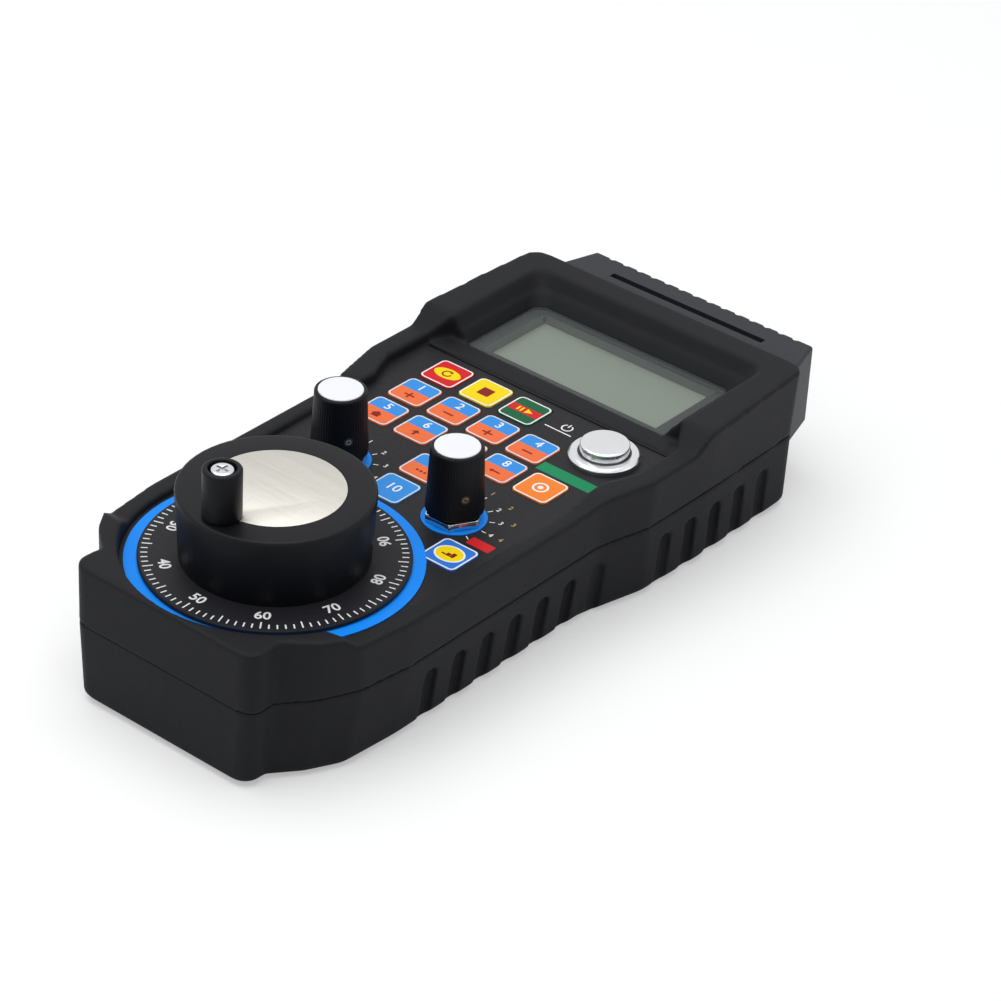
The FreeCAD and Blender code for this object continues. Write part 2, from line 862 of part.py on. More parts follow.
def finger_slots(body, first, last, start, pitch, count, depth=S.slot_depth):
    """Cut a row of upright slots into the flank, parallel to the leaning wall."""
    low = (half_width(first, "low") + half_width(last, "low")) / 2
    mid = (half_width(first, "mid") + half_width(last, "mid")) / 2
    sketch = new_sketch(body, "YZ_Plane", low - depth)
    angle = math.degrees(math.atan2((mid - low).value, S.parting_height.value))
    turn = FreeCAD.Rotation(FreeCAD.Vector(1, 0, 0), angle)
    sketch.AttachmentOffset = FreeCAD.Placement(FreeCAD.Vector(0, 0, 0), turn)
    lean = "atan2(%s; %s)" % ((mid - low).text, S.parting_height.text)
    sketch.setExpression("AttachmentOffset.Rotation.Angle", lean)
    half = S.slot_width / 2
    outline(sketch, [
        (start - half, -S.slot_depth),
        (start + half, -S.slot_depth),
        (start + half, S.slot_top, S.slot_round),
        (start - half, S.slot_top, S.slot_round),
    ])
    slot = pocket(body, sketch, S.wall * 2)
    slot.Reversed = True
    if count == 1:
        return
    row = body.newObject("PartDesign::LinearPattern", "SlotRow")
    row.Originals = [slot]
    row.Direction = (sketch, ["H_Axis"])
    bind(row, "Length", pitch * (count - 1))
    row.Occurrences = count
    body.Tip = row


def battery_door():
    """Door of the battery bay, flush with the back face."""
    body = keep(new_body("battery_door"))
    half = S.bay_half - S.door_gap
    face = rectangle(new_sketch(body, "XY_Plane", S.door_gap), -half, S.bay_start + S.door_gap,
                     half, S.bay_end - S.door_gap)
    pad(body, face, S.floor_thickness - S.door_gap)
    ridges = []
    for i in range(4):
        y = S.bay_start + S.slot_width * (i + 1)
        ridges.append(box_corners(-S.cell_radius, y - S.seam_width, S.cell_radius, y + S.seam_width))
    pocket(body, draw(new_sketch(body, "XY_Plane", S.door_gap * 4), ridges), S.door_gap * 4)
    return body


def batteries():
    """Two cells side by side, and the contact plates at their ends."""
    cells = []
    middle = (S.bay_start + S.bay_end) / 2
    for side in (-1, 1):
        cell = doc.addObject("Part::Cylinder", "Cell")
        bind(cell, "Radius", S.cell_radius)
        bind(cell, "Height", S.cell_length)
        cell.Placement.Rotation = FreeCAD.Rotation(FreeCAD.Vector(0, 1, 0), 90)
        place(cell, -S.cell_length / 2, middle + S.cell_pitch / 2 * side, BAY_FLOOR + S.cell_radius)
        cells.append(cell)
    group(cells, "aa_cells")
    plates = []
    gap = S.bay_half - S.cell_length / 2 - S.contact_thickness
    for side in (-1, 1):
        plate = doc.addObject("Part::Box", "ContactPlate")
        bind(plate, "Length", S.contact_thickness)
        bind(plate, "Width", S.cell_pitch + S.cell_radius)
        bind(plate, "Height", S.contact_height)
        edge = S.bay_half * side - S.contact_thickness * (1 if side > 0 else 0)
        place(plate, edge, middle - (S.cell_pitch + S.cell_radius) / 2, BAY_FLOOR)
        bumps = [plate]
        for cell in (-1, 1):
            bump = doc.addObject("Part::Cylinder", "ContactBump")
            bind(bump, "Radius", S.contact_bump)
            bind(bump, "Height", gap - S.running_gap)
            bump.Placement.Rotation = FreeCAD.Rotation(FreeCAD.Vector(0, 1, 0), -90 * side)
            place(bump, edge if side > 0 else edge + S.contact_thickness,
                  middle + S.cell_pitch / 2 * cell, BAY_FLOOR + S.cell_radius)
            bumps.append(bump)
        fused = doc.addObject("Part::MultiFuse", "Contact")
        fused.Shapes = bumps
        plates.append(fused)
    group(plates, "battery_contacts")


def group(solids, label):
    """One node of several separate solids."""
    compound = doc.addObject("Part::Compound", label)
    compound.Label = label
    compound.Links = solids
    return keep(compound)


def film():
    """The printed film on the panel plate."""
    body = new_body("whole_film")
    right = panel_half()[1:-1]
    pad(body, outline(new_sketch(body, "XY_Plane", PLATE_TOP), mirrored(right)), S.film_thickness)
    disc = circle(new_sketch(body, "XY_Plane", PLATE_TOP), 0, DIAL_Y, RECESS_RADIUS)
    pad(body, disc, S.film_thickness)
    holes = [(x, y, S.collar_radius + S.fit_gap) for _, x, y in SELECTORS]
    holes.append((0, DIAL_Y, RING_INNER - S.running_gap))
    holes.append((POWER[0], POWER[1], S.barrel_radius + S.fit_gap))
    pocket(body, draw(new_sketch(body, "XY_Plane", FILM_TOP), circles=holes), S.film_thickness)
    cut_from(body, key_windows(), "panel_overlay")


def display():
    """Window and display module."""
    lens = keep(new_body("lcd_window"))
    face = rectangle(new_sketch(lens, "XY_Plane", BAR_TOP - S.lens_thickness),
                     -S.window_half + S.fit_gap, S.window_start + S.fit_gap,
                     S.window_half - S.fit_gap, S.window_end - S.fit_gap)
    pad(lens, face, S.lens_thickness)
    module = keep(new_body("lcd_module"))
    base = MAIN_TOP + S.running_gap
    block = rectangle(new_sketch(module, "XY_Plane", base),
                      -S.module_half, S.view_start - S.module_margin,
                      S.module_half, S.view_end + S.module_margin)
    pad(module, block, PLATE_LOW - S.running_gap - base)


def dial():
    """Blue ring, and the graduated disc that turns with the wheel."""
    ring = turned("whole_ring", [
        (RING_INNER, FILM_TOP),
        (RING_RADIUS, FILM_TOP),
        (RING_RADIUS, FILM_TOP + S.ring_thickness),
        (RING_INNER, FILM_TOP + S.ring_thickness),
    ], 0, DIAL_Y)
    cut_from(ring, key_windows()[-2:], "dial_ring")
    bore = S.spindle_radius + S.bore_gap
    keep(turned("dial_disc", [
        (bore, DISC_LOW),
        (S.disc_radius, DISC_LOW),
        (S.disc_radius, DISC_TOP - S.disc_bevel),
        (S.disc_radius - S.disc_bevel, DISC_TOP),
        (bore, DISC_TOP),
    ], 0, DIAL_Y))


def handwheel():
    """The wheel's knob with its steel plate, and the small grip on its pin."""
    bore = S.spindle_radius + S.bore_gap
    top = DISC_TOP + S.spindle_engagement
    knob = keep(turned("handwheel_knob", [
        (0, top),
        (bore, top),
        (bore, DISC_TOP),
        (S.hub_radius, DISC_TOP),
        (S.hub_radius, WHEEL_TOP - S.wheel_roof),
        (S.wheel_foot - S.wheel_wall, WHEEL_TOP - S.wheel_roof),
        (S.wheel_foot - S.wheel_wall, DISC_TOP),
        (S.wheel_foot, DISC_TOP),
        (S.wheel_radius, WHEEL_TOP, S.wheel_round),
        (S.plate_radius + S.bore_gap, WHEEL_TOP),
        (S.plate_radius + S.bore_gap, WHEEL_TOP - S.plate_depth),
        (0, WHEEL_TOP - S.plate_depth),
    ], 0, DIAL_Y))
    pin_bottom = WHEEL_TOP - S.pin_depth
    boss = circle(new_sketch(knob, "XY_Plane", pin_bottom), GRIP_X, -S.grip_reach, S.pin_radius * 2)
    pad(knob, boss, S.pin_depth - S.wheel_roof + S.fit_gap)
    hole = new_sketch(knob, "XY_Plane", WHEEL_TOP)
    circle(hole, GRIP_X, -S.grip_reach, S.pin_radius + S.bore_gap)
    pocket(knob, hole, S.pin_depth)

    plate = keep(new_body("knob_plate"))
    low = WHEEL_TOP - S.plate_depth
    pad(plate, circle(new_sketch(plate, "XY_Plane", low), 0, DIAL_Y, S.plate_radius), S.plate_depth)
    notch = circle(new_sketch(plate, "XY_Plane", WHEEL_TOP), GRIP_X, GRIP_Y, S.pin_radius + S.fit_gap)
    pocket(plate, notch, S.plate_depth)

    inner = S.pin_radius + S.bore_gap
    seat = GRIP_TOP - S.grip_recess_depth
    keep(turned("crank_grip", [
        (inner, GRIP_LOW),
        (S.grip_radius, GRIP_LOW),
        (S.grip_radius, GRIP_TOP, S.grip_round),
        (S.grip_recess, GRIP_TOP),
        (S.grip_recess, seat),
        (inner, seat),
    ], GRIP_X, GRIP_Y))
    head = seat + S.running_gap
    screw = keep(turned("grip_screw", [
        (0, pin_bottom),
        (S.pin_radius, pin_bottom),
        (S.pin_radius, head),
        (S.pin_head, head),
        (S.pin_head, head + S.pin_head_height, S.grip_round),
        (0, head + S.pin_head_height),
    ], GRIP_X, GRIP_Y))
    cross(screw, head + S.pin_head_height)


def cross(body, top):
    """Cross recess in the head of a screw that stands at its body's origin."""
    half, reach = S.cross_width / 2, S.cross_length / 2
    for x, y in ((half, reach), (reach, half)):
        pocket(body, rectangle(new_sketch(body, "XY_Plane", top), -x, -y, x, y), S.cross_depth)


def encoder():
    """Pulse generator under the panel, its spindle and fixing screws."""
    low = PLATE_LOW - S.encoder_depth
    bore = S.spindle_radius + S.bore_gap * 2
    body = keep(turned("encoder_body", [
        (0, low),
        (S.encoder_radius, low),
        (S.encoder_radius, PLATE_LOW),
        (S.bushing_radius, PLATE_LOW),
        (S.bushing_radius, FILM_TOP + S.bushing_rise),
        (bore, FILM_TOP + S.bushing_rise),
        (bore, low + S.floor_thickness),
        (0, low + S.floor_thickness),
    ], 0, DIAL_Y))
    holes = [(x, y, S.fixing_radius + S.bore_gap) for x, y in fixing_places()]
    pocket(body, draw(new_sketch(body, "XY_Plane", PLATE_LOW), circles=holes),
           S.fixing_length + S.fit_gap)
    screws = []
    for x, y in fixing_places():
        screw = turned("FixingScrew", [
            (0, PLATE_LOW - S.fixing_length),
            (S.fixing_radius, PLATE_LOW - S.fixing_length),
            (S.fixing_radius, PLATE_LOW),
            (S.fixing_head, PLATE_LOW),
            (S.fixing_head, PLATE_TOP - S.fit_gap),
            (0, PLATE_TOP - S.fit_gap),
        ], x, DIAL_Y + y)
        cross(screw, PLATE_TOP - S.fit_gap)
        screws.append(screw)
    group(screws, "encoder_screws")
    keep(turned("encoder_shaft", [
        (0, low + S.floor_thickness + S.running_gap),
        (S.spindle_radius, low + S.floor_thickness + S.running_gap),
        (S.spindle_radius, DISC_TOP + S.spindle_engagement - S.fit_gap),
        (0, DISC_TOP + S.spindle_engagement - S.fit_gap),
    ], 0, DIAL_Y))


def hexagon(flats):
    """Corners of a hexagon by its width across the flats."""
    reach = flats / math.sqrt(3)
    turns = [math.radians(60 * i) for i in range(6)]
    return [(reach * math.cos(turn), reach * math.sin(turn)) for turn in turns]


def nut(label, flats, height, bore, x, y, low):
    """A hexagon nut at a place."""
    body = new_body(label)
    sketch = new_sketch(body, "XY_Plane", low)
    pad(body, draw(sketch, [hexagon(flats)], [(0, 0, bore)]), height)
    return place(body, x, y)


def selectors():
    """The two rotary switches with their nuts, rings, stems, knobs and caps."""
    switches, nuts, rings = [], [], []
    for name, x, y in SELECTORS:
        low = PLATE_LOW - S.switch_depth
        bore = S.stem_radius + S.bore_gap * 2
        switches.append(turned("Switch", [
            (0, low),
            (S.switch_radius, low),
            (S.switch_radius, PLATE_LOW),
            (S.collar_radius, PLATE_LOW),
            (S.collar_radius, COLLAR_TOP),
            (bore, COLLAR_TOP),
            (bore, low + S.floor_thickness),
            (0, low + S.floor_thickness),
        ], x, y))
        ring_top = FILM_TOP + S.selector_ring_thickness
        rings.append(turned("Ring", [
            (S.collar_radius + S.fit_gap, FILM_TOP),
            (S.selector_ring, FILM_TOP),
            (S.selector_ring, ring_top),
            (S.collar_radius + S.fit_gap, ring_top),
        ], x, y))
        nuts.append(nut("Nut", S.nut_flats, S.nut_height, S.collar_radius + S.bore_gap, x, y, ring_top))
        stem_top = KNOB_LOW + S.stem_engagement
        keep(turned(name + "_shaft", [
            (0, low + S.floor_thickness + S.running_gap),
            (S.stem_radius, low + S.floor_thickness + S.running_gap),
            (S.stem_radius, stem_top - S.fit_gap),
            (0, stem_top - S.fit_gap),
        ], x, y))
        knob = keep(turned(name + "_knob", [
            (0, stem_top),
            (S.stem_radius + S.bore_gap, stem_top),
            (S.stem_radius + S.bore_gap, KNOB_LOW),
            (S.knob_foot_radius, KNOB_LOW),
            (S.knob_top_radius, KNOB_TOP, S.knob_edge),
            (S.cap_radius + S.bore_gap, KNOB_TOP),
            (S.cap_radius + S.bore_gap, KNOB_TOP - S.cap_depth),
            (0, KNOB_TOP - S.cap_depth),
        ], x, y))
        radial_hole(knob)
        cap_top = KNOB_TOP - S.cap_depth + S.cap_height
        keep(turned(name + "_knob_cap", [
            (0, KNOB_TOP - S.cap_depth),
            (S.cap_radius, KNOB_TOP - S.cap_depth),
            (S.cap_radius, cap_top, S.cap_edge),
            (0, cap_top),
        ], x, y))
        set_screw(name, x, y)
    group(switches, "selector_switches")
    group(nuts, "selector_nuts")
    group(rings, "selector_rings")


def radial_hole(knob):
    """Hole for the set screw, from the stem outwards."""
    sketch = new_sketch(knob, "XZ_Plane")
    turn = FreeCAD.Rotation(FreeCAD.Vector(0, 1, 0), DIMS["set_screw_turn"] + 90)
    sketch.AttachmentOffset = FreeCAD.Placement(FreeCAD.Vector(0, 0, 0), turn)
    sketch.setExpression("AttachmentOffset.Rotation.Angle", (S.set_screw_turn + 90).text)
    circle(sketch, 0, KNOB_LOW + S.set_screw_height, S.set_screw_radius + S.bore_gap)
    pocket(knob, sketch, S.knob_foot_radius * 2).Reversed = True


def set_screw(name, x, y):
    """Set screw that holds a knob on its stem."""
    screw = doc.addObject("Part::Cylinder", name + "_set_screw")
    screw.Label = name + "_set_screw"
    bind(screw, "Radius", S.set_screw_radius)
    bind(screw, "Height", S.set_screw_length)
    angle = math.radians(DIMS["set_screw_turn"])
    direction = FreeCAD.Vector(math.cos(angle), math.sin(angle), 0)
    screw.Placement.Rotation = FreeCAD.Rotation(FreeCAD.Vector(0, 0, 1), direction)
    start = S.stem_radius + S.running_gap
    place(screw, x + start * math.cos(angle), y + start * math.sin(angle), KNOB_LOW + S.set_screw_height)
    return keep(screw)


def power_button():
    """Metal push button: bezel, barrel, nut, spring and cap."""
    x, y = POWER
    bezel_top = FILM_TOP + S.bezel_height
    keep(turned("power_bezel", [
        (S.bezel_bore, FILM_TOP),
        (S.bezel_radius, FILM_TOP),
        (S.bezel_radius, bezel_top - S.bezel_bevel),
        (S.bezel_radius - S.bezel_bevel, bezel_top),
        (S.bezel_bore, bezel_top),
    ], x, y))
    low = FILM_TOP - S.barrel_depth
    keep(turned("power_barrel", [
        (0, low),
        (S.barrel_radius, low),
        (S.barrel_radius, FILM_TOP),
        (S.bezel_bore, FILM_TOP),
        (S.bezel_bore, low + S.barrel_floor),
        (0, low + S.barrel_floor),
    ], x, y))
    nut_low = PLATE_LOW - S.power_nut_height
    keep(nut("power_nut", S.power_nut_flats, S.power_nut_height, S.barrel_radius + S.bore_gap, x, y, nut_low))
    cap_top = FILM_TOP + S.button_rise
    cap_low = FILM_TOP - S.button_depth
    keep(turned("power_cap", [
        (0, cap_low),
        (S.button_radius, cap_low),
        (S.button_radius, cap_top, S.button_round),
        (0, cap_top),
    ], x, y))
    spring = keep(new_body("power_spring"))
    wire = circle(new_sketch(spring, "XZ_Plane"), S.spring_radius, 0, S.spring_wire)
    helix = spring.newObject("PartDesign::AdditiveHelix", "Helix")
    helix.Profile = wire
    helix.ReferenceAxis = (wire, ["V_Axis"])
    helix.Mode = "height-turns-angle"
    start = low + S.barrel_floor + S.running_gap + S.spring_wire
    bind(helix, "Height", cap_low - S.running_gap - S.spring_wire - start)
    bind(helix, "Turns", S.spring_turns)
    place(spring, x, y, start)


def keys():
    """The sixteen keys, each with the flange that keeps it in."""
    half = S.key_width / 2
    wide = half + S.key_flange
    for name, x, y in KEYS:
        body = keep(new_body(name))
        cap = rectangle(new_sketch(body, "XY_Plane", KEY_LOW), -half, -half, half, half, S.key_round)
        pad(body, cap, KEY_TOP - KEY_LOW)
        flange = rectangle(new_sketch(body, "XY_Plane", KEY_LOW), -wide, -wide, wide, wide)
        pad(body, flange, S.key_flange_height)
        place(body, x, y)


def boards():
    """Key board with its domes, main board, radio module and antenna."""
    board = keep(new_body("keypad_board"))
    face = rectangle(new_sketch(board, "XY_Plane", BOARD_LOW), -S.board_half, -S.board_front,
                     S.board_half, S.board_back)
    pad(board, face, S.board_thickness)
    holes = [(x, y, S.switch_radius + S.board_gap) for _, x, y in SELECTORS]
    reach = S.power_nut_flats / math.sqrt(3)
    holes.append((POWER[0], POWER[1], reach + S.board_gap))
    holes.extend([(x, y, S.boss_radius + S.board_gap) for x, y in both_sides(BOSSES[1:2])])
    pocket(board, draw(new_sketch(board, "XY_Plane", BOARD_TOP), circles=holes), S.board_thickness)
    domes = []
    for _, x, y in KEYS:
        dome = doc.addObject("Part::Cylinder", "Dome")
        bind(dome, "Radius", S.dome_radius)
        bind(dome, "Height", S.dome_height)
        domes.append(place(dome, x, y, BOARD_TOP))
    group(domes, "dome_switches")

    main = keep(new_body("main_circuit_board"))
    face = rectangle(new_sketch(main, "XY_Plane", MAIN_LOW), -S.main_board_half, S.main_board_start,
                     S.main_board_half, S.main_board_end)
    pad(main, face, S.main_board_thickness)
    hole = circle(new_sketch(main, "XY_Plane", MAIN_TOP), POWER[0], POWER[1],
                  S.barrel_radius + S.board_gap)
    pocket(main, hole, S.main_board_thickness)
    radio = keep(new_body("radio_module"))
    face = rectangle(new_sketch(radio, "XY_Plane", MAIN_TOP), -S.radio_width / 2,
                     S.radio_place - S.radio_length / 2, S.radio_width / 2,
                     S.radio_place + S.radio_length / 2)
    pad(radio, face, S.radio_height)
    antenna = keep(doc.addObject("Part::Cylinder", "antenna"))
    bind(antenna, "Radius", S.antenna_radius)
    bind(antenna, "Height", S.antenna_length)
    antenna.Placement.Rotation = FreeCAD.Rotation(FreeCAD.Vector(0, 1, 0), 90)
    place(antenna, -S.antenna_length / 2, S.antenna_place, MAIN_TOP + S.antenna_radius)


def case_screws():
    """Six screws from the back that hold the two halves."""
    screws = []
    top = PLATE_LOW - S.screw_end_gap - S.fit_gap
    for x, y in both_sides(BOSSES):
        screw = turned("CaseScrew", [
            (0, S.screw_sink - S.screw_head_height),
            (S.screw_head, S.screw_sink - S.screw_head_height),
            (S.screw_head, S.screw_sink),
            (S.screw_radius, S.screw_sink),
            (S.screw_radius, top),
            (0, top),
        ], x, y)
        screws.append(screw)
    group(screws, "case_screws")


def end_block():
    """Serrated block on the display end, in two hollow halves."""
    inset = S.end_block_wall
    for label, low, high in (
        ("end_cap_lower", S.end_block_low, S.end_block_seam),
        ("end_cap_upper", S.end_block_seam, S.end_block_high),
    ):
        body = keep(new_body(label))
        half = S.end_block_half
        face = outline(new_sketch(body, "XY_Plane", low), mirrored([
            (S.end_block_root, S.case_end),
            (half, BLOCK_END),
        ]))
        block = pad(body, face, high - low)
        lower = label == "end_cap_lower"
        outer = low if lower else high

        def edge_test(edge):
            box = edge.BoundBox
            upright = box.ZLength > 1 and box.YMin > BLOCK_END.value - 0.01
            level = abs(box.ZMin - outer.value) < 0.001 and box.ZLength < 0.001
            return upright or level and box.YMax > S.case_end.value + 0.01

        round_edges(body, block, S.end_block_round, edge_test)
        hollow = rectangle(new_sketch(body, "XY_Plane", high - inset if not lower else high),
                           -half + inset, S.case_end + inset, half - inset, BLOCK_END - inset)
        pocket(body, hollow, high - low - inset)
        rings = []
        for i in range(FLUTES):
            rings.append((S.flute_pitch * (i - (FLUTES - 1) / 2), BLOCK_END, S.flute_radius))
        flutes = draw(new_sketch(body, "XY_Plane", high + S.end_block_round), circles=rings)
        pocket(body, flutes, high - low + S.end_block_round * 2)
        if not lower:
            y = S.case_end + S.slit_place
            slit = rectangle(new_sketch(body, "XY_Plane", high), -S.slit_half, y - S.slit_width / 2,
                             S.slit_half, y + S.slit_width / 2)
            pocket(body, slit, S.slit_depth)


def build():
    """Make every piece."""
    front_housing()
    rear_housing()
    battery_door()
    end_block()
    film()
    display()
    dial()
    handwheel()
    encoder()
    selectors()
    power_button()
    keys()
    boards()
    batteries()
    case_screws()


def check_and_write():
    """Stop on a failed object, then write each piece to its own file."""
    doc.recompute()
    for item in doc.Objects:
        if "Invalid" in item.State or "Error" in item.State:
            raise RuntimeError("%s (%s) failed: %s" % (item.Name, item.Label, item.State))
    os.makedirs("parts", exist_ok=True)
    for piece in PIECES:
        shape = piece.Shape
        if shape.isNull() or not shape.isValid():
            raise RuntimeError("%s has no valid shape" % piece.Label)
        shape.exportStep("parts/%s.step" % piece.Label)
        print(piece.Label, round(shape.Volume, 1), len(shape.Solids), "solids")


build()
check_and_write()
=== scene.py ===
import json
import math

import bmesh
import bpy
import numpy
from mathutils import Matrix, Vector


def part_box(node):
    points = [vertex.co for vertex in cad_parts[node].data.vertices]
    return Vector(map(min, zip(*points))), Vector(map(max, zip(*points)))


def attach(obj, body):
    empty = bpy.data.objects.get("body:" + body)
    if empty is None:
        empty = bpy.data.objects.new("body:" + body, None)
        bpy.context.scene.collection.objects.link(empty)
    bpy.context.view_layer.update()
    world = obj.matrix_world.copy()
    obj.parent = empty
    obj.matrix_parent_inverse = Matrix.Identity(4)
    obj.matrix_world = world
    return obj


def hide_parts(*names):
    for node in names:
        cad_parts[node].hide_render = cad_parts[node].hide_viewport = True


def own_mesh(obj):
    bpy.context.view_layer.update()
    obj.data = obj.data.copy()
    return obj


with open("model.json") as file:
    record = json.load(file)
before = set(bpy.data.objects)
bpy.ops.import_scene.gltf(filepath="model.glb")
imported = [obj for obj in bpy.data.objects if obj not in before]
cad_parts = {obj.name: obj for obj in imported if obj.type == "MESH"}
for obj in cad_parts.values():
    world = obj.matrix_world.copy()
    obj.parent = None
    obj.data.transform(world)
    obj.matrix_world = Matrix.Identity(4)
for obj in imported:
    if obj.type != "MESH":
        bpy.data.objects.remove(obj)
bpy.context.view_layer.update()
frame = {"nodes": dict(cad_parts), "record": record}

# Hand-held control pendant with a pulse generator handwheel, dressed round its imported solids.
# Places are in metres. Sizes of prints and turned shapes are in millimetres, times MM where used.

MM = 0.001
RECORD = frame["record"]
BODY_OF = {node: body for body, nodes in RECORD["behaviour"]["bodies"].items() for node in nodes}
SLOT_OF = {part["node"]: part["material_slot"] for part in RECORD["subparts"]}

# Camera: its place, the point it looks at, its roll in degrees, and its lens and sensor
CAMERA_PLACE = Vector((0.51656, -0.63724, 0.54659))
CAMERA_AIM = Vector((0.00829, 0.01150, 0.02000))
CAMERA_ROLL = 3.354
CAMERA_LENS = 131.25
CAMERA_SENSOR = 36.0

# Lamps that look at the origin: name, place and width in metres, power in watts
LAMPS = (
    ("key_lamp", (-0.15, -0.1, 1.3), 1.4, 15.5),
    ("front_lamp", (-0.5, -1.1, 0.8), 0.8, 1.6),
    ("side_lamp", (1.1, 0.5, 0.6), 0.8, 0.8),
)

# Strengths of white: in the floor as the camera sees it, and of the world as it lights the object
FLOOR_GLOW = 0.38
WORLD_LIGHT = 0.42

# Thickness of one layer of print, and the share of it that stays free below the ink
INK = 0.02 * MM
INK_GAP = 0.1

# Corners closer than this are one corner, and faces that turn by fewer degrees are one face
WELD = 0.001 * MM
FLAT = 0.3

# Free space between a turned shape and a solid that sits in it
SEAT_GAP = 0.03

# Soft moulding: the voxel, the rounds of smoothing and how many of them reach the crisp places,
# the share of the way that a round pulls, the share of faces kept, the reach of the drawn edge
VOXEL = 0.5 * MM
ROUNDS = 9
LOOSE_ROUNDS = 2
PULL = 0.5
FACES_KEPT = 0.18
EDGE_REACH = 0.3 * MM

# How much narrower a selector knob is at its top than at its foot, as a radius
SELECTOR_TAPER = 0.72


# Sizes read from the solids


def low_corner(node):
    """Lowest corner of a node's box, in metres."""
    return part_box(node)[0]


def high_corner(node):
    """Highest corner of a node's box, in metres."""
    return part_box(node)[1]


def middle(node):
    """Centre of a node's box, in metres."""
    low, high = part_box(node)
    return (low + high) / 2


def top_middle(node):
    """Centre of the upper side of a node's box, in metres."""
    spot = middle(node)
    spot.z = high_corner(node).z
    return spot


def foot_of(node):
    """Height of a node's lowest point, in millimetres."""
    return low_corner(node).z / MM


def top_of(node):
    """Height of a node's highest point, in millimetres."""
    return high_corner(node).z / MM


def half_width(node):
    """Half of a node's width, in millimetres: the radius of a round one."""
    return (high_corner(node).x - low_corner(node).x) / 2 / MM


# Materials

# Where most of a noise's values lie
NOISE_LOW, NOISE_HIGH = 0.3, 0.7

# Sockets of a Mix node that mixes colours
MIX_FACTOR, MIX_FIRST, MIX_SECOND, MIX_RESULT = 0, 6, 7, 2


def new_material(name):
    """An empty node material and its shader."""
    material = bpy.data.materials.new(name)
    material.use_nodes = True
    return material, material.node_tree, material.node_tree.nodes["Principled BSDF"]


def add(tree, kind, **settings):
    """Add a node and set its inputs or its own settings by name."""
    node = tree.nodes.new("ShaderNode" + kind)
    for key, value in settings.items():
        if key in node.inputs:
            node.inputs[key].default_value = value
        else:
            setattr(node, key, value)
    return node


def noise(tree, vector, scale, detail=2.0):
    """Noise whose grain is about one over the scale, in metres."""
    node = add(tree, "TexNoise", Scale=scale, Detail=detail)
    tree.links.new(vector, node.inputs["Vector"])
    return node.outputs["Fac"]


def spread(tree, factor, low, high):
    """A noise, mapped to a range of values."""
    node = add(tree, "MapRange")
    node.inputs["From Min"].default_value = NOISE_LOW
    node.inputs["From Max"].default_value = NOISE_HIGH
    node.inputs["To Min"].default_value = low
    node.inputs["To Max"].default_value = high
    tree.links.new(factor, node.inputs["Value"])
    return node.outputs["Result"]


def tinted(tree, factor, color, change):
    """A colour that varies a little, darker and lighter."""
    node = add(tree, "Mix", data_type="RGBA")
    dark = [channel * (1 - change) for channel in color] + [1]
    light = [min(1, channel * (1 + change)) for channel in color] + [1]
    node.inputs[MIX_FIRST].default_value = dark
    node.inputs[MIX_SECOND].default_value = light
    tree.links.new(factor, node.inputs[MIX_FACTOR])
    return node.outputs[MIX_RESULT]


def finish_surface(name, color, rough, metal=0.0, grain=1500, depth=0.03, mottle=90, change=0.08,
                   stretch=(1, 1, 1), rough_change=0.06, specular=0.5):
    """A surface with grain in its normal, and slow changes of colour and gloss."""
    material, tree, shader = new_material(name)
    coordinates = add(tree, "TexCoord").outputs["Object"]
    mapping = add(tree, "Mapping", Scale=stretch)
    tree.links.new(coordinates, mapping.inputs["Vector"])
    fine = noise(tree, mapping.outputs["Vector"], grain)
    slow = noise(tree, coordinates, mottle, detail=3.0)
    tree.links.new(tinted(tree, slow, color, change), shader.inputs["Base Color"])
    tree.links.new(spread(tree, fine, rough - rough_change, rough + rough_change), shader.inputs["Roughness"])
    bump = add(tree, "Bump", Strength=1.0, Distance=depth * MM)
    tree.links.new(fine, bump.inputs["Height"])
    tree.links.new(bump.outputs["Normal"], shader.inputs["Normal"])
    shader.inputs["Metallic"].default_value = metal
    shader.inputs["Specular IOR Level"].default_value = specular
    return material


def print_surface(name, color):
    """A printed colour with a satin face."""
    return finish_surface(name, color, 0.45, grain=900, depth=0.005, change=0.04, specular=0.15)


def window_material(tint=(0.30, 0.33, 0.32), cover=0.10, grain=300):
    """Clear window: mostly see-through, with a faint gloss."""
    material, tree, shader = new_material("clear_window")
    coordinates = add(tree, "TexCoord").outputs["Object"]
    fine = noise(tree, coordinates, grain)
    tree.links.new(spread(tree, fine, 0.02, 0.05), shader.inputs["Roughness"])
    tree.links.new(tinted(tree, fine, tint, 0.03), shader.inputs["Base Color"])
    shader.inputs["Alpha"].default_value = cover
    return material


